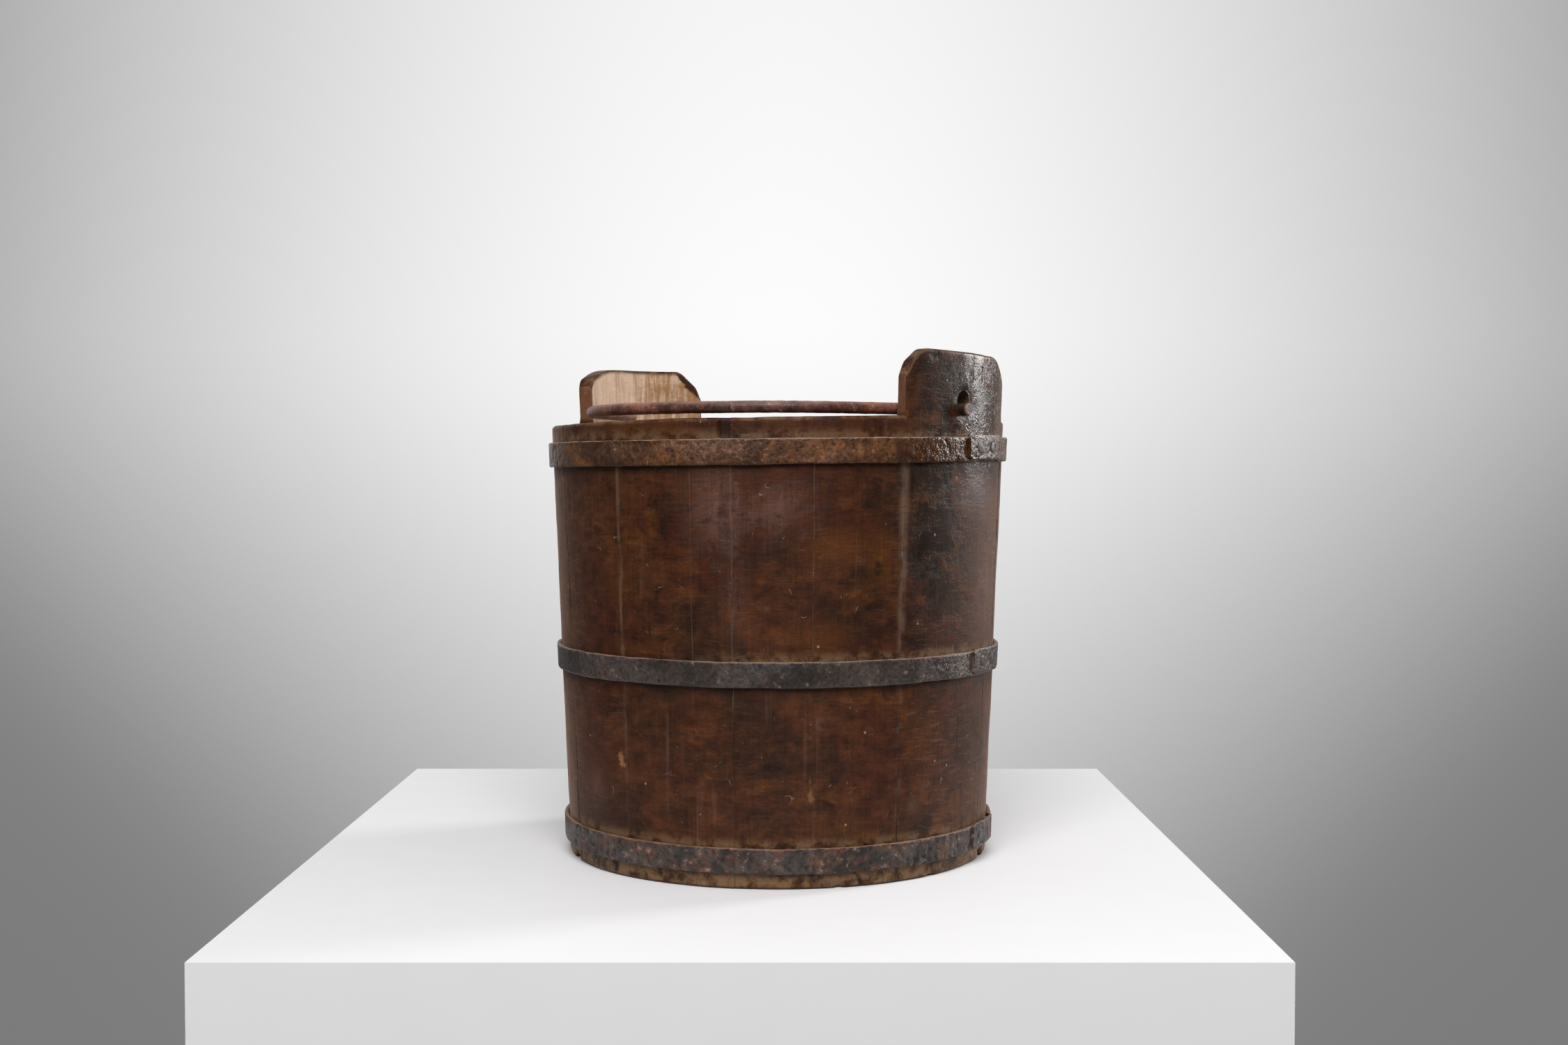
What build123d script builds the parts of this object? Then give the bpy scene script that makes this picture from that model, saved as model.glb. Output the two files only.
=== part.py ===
from build123d import *

import os
from math import cos, degrees, radians, sin, tan

# Coopered bucket: tapered staves held by three iron hoops, a boarded bottom in a groove,
# and an iron bail that swings in the two staves left long as ears.
# Millimetres. Z is up, the floor is at zero, the ears are on X and the bail rests towards minus Y.

# Body
base_radius = 150.5
mouth_radius = 163.0
rim_height = 310.6
stave_thickness = 16.0
rim_round = 2.6
foot_round = 2.5
foot_land = 9.0

# Staves, going round anticlockwise between the ears: share of the wall, and length taken off the top
front_shares = (22.0, 24.0, 24.7, 20.5, 10.0, 19.2, 22.8)
front_trims = (5.0, 5.2, 4.4, 2.4, 1.6, 2.4, 0.0)
back_shares = (24.0, 20.0, 25.0, 19.0, 25.5, 22.2)
back_trims = (2.0, 1.2, 2.6, 1.6, 3.0, 2.2)

# Ears: angle from the bail's hole to each edge of the stave, and width and height of each clipped corner
right_ear_front_deg = 18.8
right_ear_back_deg = 26.5
left_ear_front_deg = 18.0
left_ear_back_deg = 26.3
right_ear_rise = 44.4
left_ear_rise = 41.4
right_ear_front_clip = (14.0, 12.0)
right_ear_back_clip = (26.0, 20.0)
left_ear_front_clip = (24.0, 11.0)
left_ear_back_clip = (18.0, 16.0)
right_hole = (13.6, 17.0)
left_hole = (9.6, 10.2)
ear_thickness = 12.0
ear_relief_depth = 14.0
ear_relief_length = 8.0
ear_corner_round = 9.0
ear_edge_round = 2.0

# Bottom
bottom_height = 13.0
bottom_thickness = 14.0
bottom_bevel = 16.0
croze_height = 7.0
croze_depth = 5.0
middle_board_width = 104.0
dowel_radius = 4.0
dowel_length = 36.0
dowel_pitch = 130.0

# Hoops: straps, their places on the wall, and the angles of the cut ends of their laps
hoop_width = 17.0
hoop_thickness = 3.3
lap_thickness = 2.0
hoop_edge_chamfer = 1.0
top_hoop_drop = 15.6
middle_hoop_height = 133.0
bottom_hoop_height = 10.5
top_lap_deg = 1.0
middle_lap_deg = 6.5
bottom_lap_deg = 10.0
lap_length = 44.0
lap_ramp = 12.0
rivet_radius = 2.2
rivet_pitch = 20.0
rivet_head_radius = 3.8
rivet_head_height = 0.9
rivet_head_slope_deg = 35.0

# Bail
rod_diameter = 8.0
pin_proud = 5.0
bail_reach = 148.0
right_leg_lean_deg = 14.5
left_leg_lean_deg = 27.0
crown_offset = 25.0
crown_flat = 10.0
bail_bend_radius = 7.0
rod_end_chamfer = 0.8

# Clearances
seat_gap = 0.3
swing_gap = 0.6
fit_gap = 0.05

rod_radius = rod_diameter / 2
wall_slope = (mouth_radius - base_radius) / rim_height
pivot_height = rim_height + seat_gap + rod_radius
croze_bottom = bottom_height + (bottom_thickness - croze_height) / 2
croze_top = croze_bottom + croze_height

os.makedirs("parts", exist_ok=True)


def outer(height):
    """Outer radius of the wall at a height."""
    return base_radius + wall_slope * height


def inner(height):
    """Inner radius of the wall at a height."""
    return outer(height) - stave_thickness


croze_radius = inner(croze_bottom) + croze_depth


def radial_plane(angle_deg):
    """Upright plane through the bucket's axis: local x is the radius and local y the height."""
    return Plane.XZ.rotated((0, 0, angle_deg))


def stave_profile(top, inner_top):
    """Section of a stave, in radius and height: foot, outer wall, top, inner wall and croze."""
    with BuildSketch() as section:
        with BuildLine():
            Polyline(
                (outer(0), 0),
                (outer(top), top),
                *inner_top,
                (inner(croze_top), croze_top),
                (croze_radius, croze_top),
                (croze_radius, croze_bottom),
                (inner(croze_bottom), croze_bottom),
                (outer(0) - foot_round - foot_land, 0),
                close=True,
            )
        make_face()
        fillet(section.vertices().sort_by(Axis.Y)[:2].sort_by(Axis.X)[-1], foot_round)
    return section.sketch


def plain_stave(label, start_deg, width_deg, top):
    """One stave of the wall between two joints, with its own top height."""
    with BuildPart() as stave:
        with BuildSketch(radial_plane(start_deg)) as section:
            add(stave_profile(top, [(inner(top), top)]))
            fillet(section.vertices().group_by(Axis.Y)[-1], rim_round)
        revolve(axis=Axis.Z, revolution_arc=width_deg)
    stave.part.label = label
    export_step(stave.part, f"parts/{label}.step")


def stave_run(label, start_deg, end_deg, shares, trims):
    """The staves that fill the wall from one ear to the other."""
    start = start_deg
    for number, (share, trim) in enumerate(zip(shares, trims), 1):
        width = (end_deg - start_deg) * share / sum(shares)
        plain_stave(f"{label}_{number}", start, width, rim_height - trim)
        start += width


def ear_stave(label, side, front_deg, back_deg, rise, front_clip, back_clip, hole):
    """A stave left long above the rim, thinned inside, with clipped corners and the bail's hole."""
    start_deg = -front_deg if side > 0 else 180 - back_deg
    ear_top = rim_height + rise
    relief_bottom = rim_height - ear_relief_depth
    relief_top = relief_bottom + ear_relief_length
    front_edge = outer(ear_top) * sin(radians(front_deg))
    back_edge = outer(ear_top) * sin(radians(back_deg))
    front_width, front_drop = front_clip
    back_width, back_drop = back_clip
    hole_width, hole_height = hole
    hole_middle = pivot_height - rod_radius - seat_gap + hole_height / 2
    with BuildPart() as stave:
        with BuildSketch(radial_plane(start_deg)) as section:
            add(
                stave_profile(
                    ear_top,
                    [
                        (outer(ear_top) - ear_thickness, ear_top),
                        (outer(relief_top) - ear_thickness, relief_top),
                        (inner(relief_bottom), relief_bottom),
                    ],
                )
            )
            fillet(section.vertices().group_by(Axis.Y)[-1], ear_edge_round)
        revolve(axis=Axis.Z, revolution_arc=front_deg + back_deg)
        with BuildSketch(Plane.YZ) as outline:
            with BuildLine():
                Polyline(
                    (-front_edge - front_width, 0),
                    (back_edge + back_width, 0),
                    (back_edge + back_width, ear_top - 2 * back_drop),
                    (back_edge - back_width, ear_top),
                    (-front_edge + front_width, ear_top),
                    (-front_edge - front_width, ear_top - 2 * front_drop),
                    close=True,
                )
            make_face()
            fillet(outline.vertices().group_by(Axis.Y)[-1], ear_corner_round)
        extrude(amount=side * 2 * mouth_radius, mode=Mode.INTERSECT)
        with BuildSketch(Plane.YZ):
            with Locations((0, hole_middle)):
                SlotOverall(hole_height, hole_width, rotation=90)
        extrude(amount=side * 2 * mouth_radius, mode=Mode.SUBTRACT)
    stave.part.label = label
    export_step(stave.part, f"parts/{label}.step")


stave_run(
    "stave_front",
    180 + left_ear_front_deg,
    360 - right_ear_front_deg,
    front_shares,
    front_trims,
)
stave_run("stave_back", right_ear_back_deg, 180 - left_ear_back_deg, back_shares, back_trims)
ear_stave(
    "ear_stave_right",
    1,
    right_ear_front_deg,
    right_ear_back_deg,
    right_ear_rise,
    right_ear_front_clip,
    right_ear_back_clip,
    right_hole,
)
ear_stave(
    "ear_stave_left",
    -1,
    left_ear_front_deg,
    left_ear_back_deg,
    left_ear_rise,
    left_ear_front_clip,
    left_ear_back_clip,
    left_hole,
)

# Bottom boards, with a bevelled edge that stands in the croze
seam = middle_board_width / 2
seam_limits = {"front": (-base_radius, -seam), "middle": (-seam, seam), "back": (seam, base_radius)}
board_middle = bottom_height + bottom_thickness / 2
dowel_places = [(x, y) for x in (-dowel_pitch / 2, dowel_pitch / 2) for y in (-seam, seam)]


def dowel_plane(x, y, half_length):
    """Plane across a dowel at its end nearest minus Y."""
    return Plane(origin=(x, y - half_length, board_middle), x_dir=(1, 0, 0), z_dir=(0, 1, 0))


def bottom_board(label, low, high):
    """One board of the round bottom, from seam to seam or to the round edge."""
    tongue_radius = croze_radius - fit_gap
    with BuildPart() as board:
        with BuildSketch(Plane.XZ):
            with BuildLine():
                Polyline(
                    (0, bottom_height),
                    (tongue_radius - croze_depth - bottom_bevel, bottom_height),
                    (tongue_radius - croze_depth, croze_bottom),
                    (tongue_radius, croze_bottom),
                    (tongue_radius, croze_top - fit_gap),
                    (tongue_radius - croze_depth, croze_top - fit_gap),
                    (tongue_radius - croze_depth - bottom_bevel, bottom_height + bottom_thickness),
                    (0, bottom_height + bottom_thickness),
                    close=True,
                )
            make_face()
        revolve(axis=Axis.Z)
        with BuildSketch(Plane.XY):
            with Locations((0, (low + high) / 2)):
                Rectangle(2 * base_radius, high - low)
        extrude(amount=bottom_height + 2 * bottom_thickness, mode=Mode.INTERSECT)
        for x, y in dowel_places:
            with BuildSketch(dowel_plane(x, y, dowel_length / 2 + seat_gap)):
                Circle(dowel_radius + fit_gap)
            extrude(amount=dowel_length + 2 * seat_gap, mode=Mode.SUBTRACT)
    board.part.label = label
    export_step(board.part, f"parts/{label}.step")


for place, (low, high) in seam_limits.items():
    bottom_board(f"bottom_board_{place}", low, high)

with BuildPart() as bottom_dowels:
    for x, y in dowel_places:
        with BuildSketch(dowel_plane(x, y, dowel_length / 2)):
            Circle(dowel_radius)
        extrude(amount=dowel_length)
bottom_dowels.part.label = "bottom_dowels"
export_step(bottom_dowels.part, "parts/bottom_dowels.step")


def rivet_planes(low, lap_deg):
    """Planes on the outside of a lap, one at the root of each rivet head."""
    middle = low + hoop_width / 2
    face = outer(middle) + fit_gap + hoop_thickness + lap_thickness
    for step in (-rivet_pitch / 2, rivet_pitch / 2):
        angle = radians(lap_deg) + (lap_length / 2 + step) / face
        yield Plane(
            origin=(face * cos(angle), face * sin(angle), middle),
            x_dir=(-sin(angle), cos(angle), 0),
            z_dir=(cos(angle), sin(angle), -wall_slope),
        )


def strap_section(low, base, thickness):
    """Section of the strap, a little off the wall or on the layer of strap below it."""
    high = low + hoop_width
    with BuildSketch() as section:
        with BuildLine():
            Polyline(
                (outer(low) + base, low),
                (outer(low) + base + thickness, low),
                (outer(high) + base + thickness, high),
                (outer(high) + base, high),
                close=True,
            )
        make_face()
        chamfer(section.vertices().sort_by(Axis.X)[-2:], hoop_edge_chamfer)
    return section.sketch


def ramp_plane(low, start_deg, end_deg):
    """Slanting plane down which the outer layer of a lap comes back to the wall."""
    height = low + hoop_width / 2
    foot = outer(height) + fit_gap + hoop_thickness
    face = foot + lap_thickness
    start, end = radians(start_deg), radians(end_deg)
    top_edge = Vector(face * cos(start), face * sin(start), height)
    low_edge = Vector(foot * cos(end), foot * sin(end), height)
    up_the_wall = Vector(wall_slope * cos(end), wall_slope * sin(end), 1)
    along = low_edge - top_edge
    return Plane(origin=top_edge, x_dir=along, z_dir=along.cross(up_the_wall))


def hoop(label, low, lap_deg):
    """A strap bent into a ring that fits the taper, its outer end drawn thin and lapped over its start."""
    face = outer(low + hoop_width / 2) + hoop_thickness + lap_thickness
    ramp_deg = lap_deg + degrees(lap_length / face)
    lap_end_deg = ramp_deg + degrees(lap_ramp / face)
    with BuildPart() as band:
        with BuildSketch(radial_plane(lap_deg)):
            add(strap_section(low, fit_gap + hoop_thickness, lap_thickness))
        revolve(axis=Axis.Z, revolution_arc=lap_end_deg - lap_deg)
        split(bisect_by=ramp_plane(low, ramp_deg, lap_end_deg), keep=Keep.BOTTOM)
        with BuildSketch(Plane.XZ):
            add(strap_section(low, fit_gap, hoop_thickness))
        revolve(axis=Axis.Z)
        for plane in rivet_planes(low, lap_deg):
            with BuildSketch(plane):
                Circle(rivet_radius + fit_gap)
            extrude(amount=-2 * (hoop_thickness + lap_thickness), mode=Mode.SUBTRACT)
    band.part.label = label
    export_step(band.part, f"parts/{label}.step")


hoops = {
    "top": (rim_height - top_hoop_drop - hoop_width, top_lap_deg),
    "middle": (middle_hoop_height, middle_lap_deg),
    "bottom": (bottom_hoop_height, bottom_lap_deg),
}
for place, (low, lap_deg) in hoops.items():
    hoop(f"hoop_{place}", low, lap_deg)

with BuildPart() as hoop_rivets:
    for low, lap_deg in hoops.values():
        for plane in rivet_planes(low, lap_deg):
            with BuildSketch(plane):
                Circle(rivet_radius)
            extrude(amount=fit_gap - hoop_thickness - lap_thickness)
            with BuildSketch(plane):
                Circle(rivet_head_radius)
            extrude(amount=rivet_head_height, taper=rivet_head_slope_deg)
hoop_rivets.part.label = "hoop_rivets"
export_step(hoop_rivets.part, "parts/hoop_rivets.step")

# Bail, one rod: pin, bend, leaning leg, bow, leaning leg, bend, pin
pin_end = outer(pivot_height) + pin_proud
leg_start = outer(pivot_height) - ear_thickness - rod_radius - swing_gap
right_shoulder = leg_start - bail_reach * tan(radians(right_leg_lean_deg))
left_shoulder = -leg_start + bail_reach * tan(radians(left_leg_lean_deg))


def bow_radius(run, lean_deg):
    """Radius that rounds a shoulder, given how far the curve runs along the top."""
    return run * tan(radians((90 + lean_deg) / 2))


right_bow = bow_radius(right_shoulder - crown_offset - crown_flat / 2, right_leg_lean_deg)
left_bow = bow_radius(crown_offset - crown_flat / 2 - left_shoulder, left_leg_lean_deg)

with BuildPart() as bail:
    with BuildLine(Plane.XY.offset(pivot_height)) as rod_line:
        Polyline(
            (pin_end, 0),
            (leg_start, 0),
            (right_shoulder, -bail_reach),
            (left_shoulder, -bail_reach),
            (-leg_start, 0),
            (-pin_end, 0),
        )
        fillet(rod_line.vertices().group_by(Axis.Y)[0].sort_by(Axis.X)[-1], right_bow)
        fillet(rod_line.vertices().group_by(Axis.Y)[0].sort_by(Axis.X)[0], left_bow)
        fillet(rod_line.vertices().sort_by(Axis.X)[1], bail_bend_radius)
        fillet(rod_line.vertices().sort_by(Axis.X)[-2], bail_bend_radius)
    with BuildSketch(Plane(origin=(pin_end, 0, pivot_height), z_dir=(-1, 0, 0))):
        Circle(rod_radius)
    sweep(path=rod_line.wires()[0])
    chamfer(bail.faces().filter_by(GeomType.PLANE).edges(), rod_end_chamfer)
bail.part.label = "bail"
export_step(bail.part, "parts/bail.step")
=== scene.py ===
"""Looks of a coopered bucket: varnished staves, lapped iron hoops with rivets, and an iron bail.

Metres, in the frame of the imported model: Z is up, the floor is at zero, the ears stand on X
and the bail rests towards minus Y.
"""

import logging
from collections.abc import Callable, Mapping, Sequence
from dataclasses import dataclass, field
from enum import Enum
from math import cos, pi, radians, sin, tan
from typing import Union

import bpy
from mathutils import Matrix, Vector


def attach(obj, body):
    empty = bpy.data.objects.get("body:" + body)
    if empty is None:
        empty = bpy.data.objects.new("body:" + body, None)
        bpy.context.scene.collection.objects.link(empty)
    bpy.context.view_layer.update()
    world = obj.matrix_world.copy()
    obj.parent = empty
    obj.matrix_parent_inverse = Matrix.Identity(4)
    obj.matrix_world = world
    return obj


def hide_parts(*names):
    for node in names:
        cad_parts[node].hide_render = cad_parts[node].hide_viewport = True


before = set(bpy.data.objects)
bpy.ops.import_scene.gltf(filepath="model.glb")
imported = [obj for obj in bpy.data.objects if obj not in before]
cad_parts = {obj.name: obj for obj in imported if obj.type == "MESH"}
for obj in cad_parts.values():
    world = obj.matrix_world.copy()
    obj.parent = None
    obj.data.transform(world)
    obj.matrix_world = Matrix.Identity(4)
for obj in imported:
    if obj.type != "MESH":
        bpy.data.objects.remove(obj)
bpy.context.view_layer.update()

log = logging.getLogger("bucket")

Value = Union[int, float, "Sock"]
Colour = tuple[float, float, float, float]
Pair = tuple[float, float]
Material = bpy.types.Material


def tint(red: int, green: int, blue: int) -> Colour:
    """Turns a display colour, from 0 to 255, into the linear one that shaders take."""
    parts = [c / 255 for c in (red, green, blue)]
    return (*(c / 12.92 if c <= 0.04045 else ((c + 0.055) / 1.055) ** 2.4 for c in parts), 1.0)


def put(name: str, data: bpy.types.ID | None) -> bpy.types.Object:
    """Adds an object to the scene.

    Args:
        name: Its name.
        data: Its mesh, curve, lamp or camera.

    Returns:
        The object.
    """
    item = bpy.data.objects.new(name, data)
    bpy.context.scene.collection.objects.link(item)
    return item


def operator(operation: str, swapped: bool = False) -> Callable[..., "Sock"]:
    """Makes a method that adds a Math node.

    Args:
        operation: The node's operation.
        swapped: Whether the socket itself comes last.

    Returns:
        The method.
    """

    def method(self: "Sock", *values: Value) -> "Sock":
        """Adds the Math node and gives its result."""
        inputs = (*values, self) if swapped else (self, *values)
        return self.graph.add("ShaderNodeMath", dict(enumerate(inputs)), operation=operation)

    return method


class Sock:
    """One output socket of a node tree, so that sums on it read as plain expressions."""

    __add__ = __radd__ = operator("ADD")
    __sub__ = operator("SUBTRACT")
    __rsub__ = operator("SUBTRACT", swapped=True)
    __mul__ = __rmul__ = operator("MULTIPLY")
    __truediv__ = operator("DIVIDE")
    __pow__ = operator("POWER")
    __abs__ = operator("ABSOLUTE")
    least = operator("MINIMUM")
    most = operator("MAXIMUM")
    soft_least = operator("SMOOTH_MIN")
    root = operator("SQRT")
    sine = operator("SINE")
    cosine = operator("COSINE")

    def __init__(self, graph: "Graph", socket: bpy.types.NodeSocket) -> None:
        """Keeps the socket and the graph that it belongs to."""
        self.graph = graph
        self.socket = socket

    def __neg__(self) -> "Sock":
        """Turns the sign."""
        return self * -1.0

    def clip(self, low: Value, high: Value) -> "Sock":
        """Is held between two values."""
        return self.most(low).least(high)

    def fade(self, low: Value, high: Value) -> "Sock":
        """Goes smoothly from zero at one value to one at another, which may be the smaller."""
        inputs = {0: self, 1: low, 2: high}
        return self.graph.add("ShaderNodeMapRange", inputs, interpolation_type="SMOOTHSTEP")


class Graph:
    """A node tree that is being written."""

    def __init__(self, tree: bpy.types.NodeTree) -> None:
        """Keeps the tree."""
        self.tree = tree

    def add(
        self,
        kind: str,
        inputs: Mapping[Union[str, int], object] | None = None,
        output: Union[str, int] = 0,
        **settings: object,
    ) -> Sock:
        """Adds a node.

        Args:
            kind: The node's type.
            inputs: Values or links of its sockets, by name or number.
            output: The socket that is wanted from it.
            **settings: Its own settings, which are set first.

        Returns:
            That socket.
        """
        node = self.tree.nodes.new(kind)
        for name, value in settings.items():
            setattr(node, name, value)
        for key, value in (inputs or {}).items():
            self.feed(node.inputs[key], value)
        return Sock(self, node.outputs[output])

    def feed(self, socket: bpy.types.NodeSocket, value: object) -> None:
        """Links a socket, or sets its own value.

        Args:
            socket: The socket.
            value: The output that it is linked to, or the value.
        """
        if isinstance(value, Sock):
            self.tree.links.new(value.socket, socket)
        else:
            socket.default_value = value

    def join(self, x: Value, y: Value, z: Value) -> Sock:
        """Makes a vector of three values."""
        return self.add("ShaderNodeCombineXYZ", {0: x, 1: y, 2: z})

    def split(self, vector: Sock) -> list[Sock]:
        """Takes a vector apart into its three values."""
        outputs = self.add("ShaderNodeSeparateXYZ", {0: vector}).socket.node.outputs
        return [Sock(self, output) for output in outputs]

    def vector(self, operation: str, *values: object) -> Sock:
        """Adds a Vector Math node, whose result is a number for a dot product."""
        output = "Value" if operation == "DOT_PRODUCT" else 0
        return self.add("ShaderNodeVectorMath", dict(enumerate(values)), output, operation=operation)

    def noise(
        self, place: Sock, scale: float, detail: float = 2.0, rough: float = 0.5, warp: float = 0.0
    ) -> Sock:
        """Adds a noise from zero to one: lumps in a metre, finer layers, their strength and swirl."""
        inputs = {"Scale": scale, "Detail": detail, "Roughness": rough, "Distortion": warp}
        return self.add("ShaderNodeTexNoise", {"Vector": place, **inputs})

    def uneven(
        self, place: Sock, scale: float, size: float, detail: float = 2.0, rough: float = 0.5
    ) -> Sock:
        """Adds a noise about zero, of a size."""
        return (self.noise(place, scale, detail, rough) - 0.5) * size

    def cells(self, place: Sock, scale: float, output: str = "Distance") -> Sock:
        """Adds scattered cells, and gives the distance to each middle or the cell's own colour."""
        return self.add("ShaderNodeTexVoronoi", {"Vector": place, "Scale": scale}, output)

    def mix(self, share: Value, first: object, second: object, blend: str = "MIX") -> Sock:
        """Mixes two colours by the share of the second."""
        settings = {"data_type": "RGBA", "blend_type": blend, "clamp_factor": True}
        return self.add("ShaderNodeMix", {0: share, 6: first, 7: second}, 2, **settings)

    def paint(self, colour: object, *coats: tuple[Value, object]) -> Sock:
        """Lays coats over a colour, one after another.

        Args:
            colour: The colour under them.
            *coats: The share of each coat, and its colour.

        Returns:
            The painted colour.
        """
        for share, shade in coats:
            colour = self.mix(share, colour, shade)
        return colour

    def toned(self, colour: Sock, tone: Sock) -> Sock:
        """Makes a colour lighter or darker."""
        return self.mix(1.0, colour, tone, "MULTIPLY")


class ShapeTree(Graph):
    """A Geometry Nodes tree that shapes one kind of piece."""

    sharp_deg = 42

    def __init__(self, name: str) -> None:
        """Starts a tree with its geometry in and out.

        Args:
            name: Name of the tree.
        """
        super().__init__(bpy.data.node_groups.new(name, "GeometryNodeTree"))
        self.tree.is_modifier = True
        self.keys: dict[str, str] = {}
        for way in ("INPUT", "OUTPUT"):
            self.tree.interface.new_socket("Geometry", in_out=way, socket_type="NodeSocketGeometry")
        self.source = self.tree.nodes.new("NodeGroupInput")
        self.drain = self.tree.nodes.new("NodeGroupOutput")

    def given(self) -> Sock:
        """Is the geometry that the modifier is put on."""
        return Sock(self, self.source.outputs[0])

    def position(self) -> Sock:
        """Is the place of a point."""
        return self.add("GeometryNodeInputPosition")

    def sizes(self, *names: str, whole: bool = False) -> list[Sock]:
        """Adds named inputs.

        Args:
            *names: Names of the inputs.
            whole: Whether they are whole numbers.

        Returns:
            Their sockets.
        """
        kind = "NodeSocketInt" if whole else "NodeSocketFloat"
        for name in names:
            item = self.tree.interface.new_socket(name, in_out="INPUT", socket_type=kind)
            self.keys[name] = item.identifier
        return [Sock(self, self.source.outputs[name]) for name in names]

    def spaced(self, step: Sock, runs: Sequence[tuple[Value, Value]]) -> Sock:
        """Places the lines of a grid in runs, each with its own spacing.

        Args:
            step: Number of the line, from zero.
            runs: How many lines each run has, and its length.

        Returns:
            The line's place.
        """
        place: Value = 0.0
        first: Value = 0
        for lines, length in runs:
            place = ((step - first) / lines).clip(0.0, 1.0) * length + place
            first = lines + first
        return place

    def box(self, *lines: Value) -> tuple[Sock, list[Sock]]:
        """Adds a closed box of grid lines.

        Args:
            *lines: Number of spaces between lines on X, Y and Z.

        Returns:
            The box, and the number of the line on each axis.
        """
        counts = {f"Vertices {axis}": n + 1 for axis, n in zip("XYZ", lines)}
        mesh = self.add("GeometryNodeMeshCube", {"Size": (1.0, 1.0, 1.0), **counts})
        return mesh, [(part + 0.5) * n for part, n in zip(self.split(self.position()), lines)]

    def rounded(
        self, across: Sock, along: Sock, width: Value, length: Value, radius: float
    ) -> tuple[Sock, Sock]:
        """Rounds the corners of a section, moving the square at each corner onto a disc.

        Args:
            across: Place across the section.
            along: Place along the section.
            width: The section's width.
            length: The section's length.
            radius: Radius of the corners.

        Returns:
            The two places, rounded.
        """
        side = across - across.clip(radius, width - radius)
        end = along - along.clip(radius, length - radius)
        pull = abs(side).most(abs(end)) / (side * side + end * end).root() - 1.0
        return across + side * pull, along + end * pull

    def keep(self, shape: Sock, kind: str, values: Mapping[str, Sock]) -> Sock:
        """Stores values on the points of a shape.

        Args:
            shape: The shape.
            kind: Type of the values.
            values: What is stored, by the attribute's name.

        Returns:
            The shape with its attributes.
        """
        for name, value in values.items():
            inputs = {"Geometry": shape, "Name": name, "Value": value}
            shape = self.add("GeometryNodeStoreNamedAttribute", inputs, data_type=kind, domain="POINT")
        return shape

    def moved(self, shape: Sock, place: Sock) -> Sock:
        """Moves the points of a shape to new places."""
        return self.add("GeometryNodeSetPosition", {"Geometry": shape, "Position": place})

    def around(self, shape: Sock, angle: Sock, distance: Sock, height: Sock) -> Sock:
        """Moves the points of a shape to places round the bucket's axis."""
        return self.moved(shape, self.join(angle.cosine() * distance, angle.sine() * distance, height))

    def close(self, shape: Sock, material: Material) -> "ShapeTree":
        """Ends the tree.

        Args:
            shape: The finished shape.
            material: Its finish.

        Returns:
            The tree.
        """
        real = self.add("GeometryNodeRealizeInstances", {0: shape})
        dressed = self.add("GeometryNodeSetMaterial", {0: real, "Material": material})
        self.tree.links.new(dressed.socket, self.drain.inputs[0])
        return self

    def piece(
        self, name: str, sizes: Mapping[str, float], base: bpy.types.ID | None = None
    ) -> bpy.types.Object:
        """Makes a plain mesh object with the tree.

        Args:
            name: Name of the piece.
            sizes: Values of the tree's inputs, by name.
            base: Mesh or curve that the tree works on.

        Returns:
            The piece, with no modifier left on it.
        """
        holder = put(name + "_lines", base or bpy.data.meshes.new(name + "_lines"))
        modifier = holder.modifiers.new("shape", "NODES")
        modifier.node_group = self.tree
        for key, value in sizes.items():
            modifier[self.keys[key]] = value
        graph = bpy.context.evaluated_depsgraph_get()
        made = holder.evaluated_get(graph)
        mesh = bpy.data.meshes.new_from_object(made, preserve_all_data_layers=True, depsgraph=graph)
        mesh.name = name
        bpy.data.objects.remove(holder)
        mesh.shade_smooth()
        mesh.set_sharp_from_angle(angle=radians(self.sharp_deg))
        return put(name, mesh)


class Slot(Enum):
    """Names of material slots."""

    VARNISHED = "varnished_wood"
    BARE = "bare_wood"
    HOOP = "hoop_iron"
    BAIL = "bail_iron"


class Body(Enum):
    """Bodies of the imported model."""

    BUCKET = "bucket"
    BAIL = "bail"


@dataclass(frozen=True)
class Wall:
    """Sizes of the tapered wall that the other pieces are fitted to."""

    base_radius: float = 0.1505
    mouth_radius: float = 0.163
    rim_height: float = 0.3106
    thickness: float = 0.016

    @property
    def slope(self) -> float:
        """Is how much the radius grows with height."""
        return (self.mouth_radius - self.base_radius) / self.rim_height

    def outer(self, height: Value) -> Value:
        """Is the outer radius at a height."""
        return height * self.slope + self.base_radius


@dataclass(frozen=True)
class Spot:
    """A mark on the wall: its angle, height, half its width, half its rise and its strength."""

    turn_deg: float
    height: float
    half_width: float
    half_rise: float
    strength: float


@dataclass(frozen=True)
class Split:
    """A crack along the grain of an ear stave: its distance from the hole, and where it runs."""

    aside: float
    low: float
    high: float
    half_width: float
    taper: float = 0.008


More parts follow.
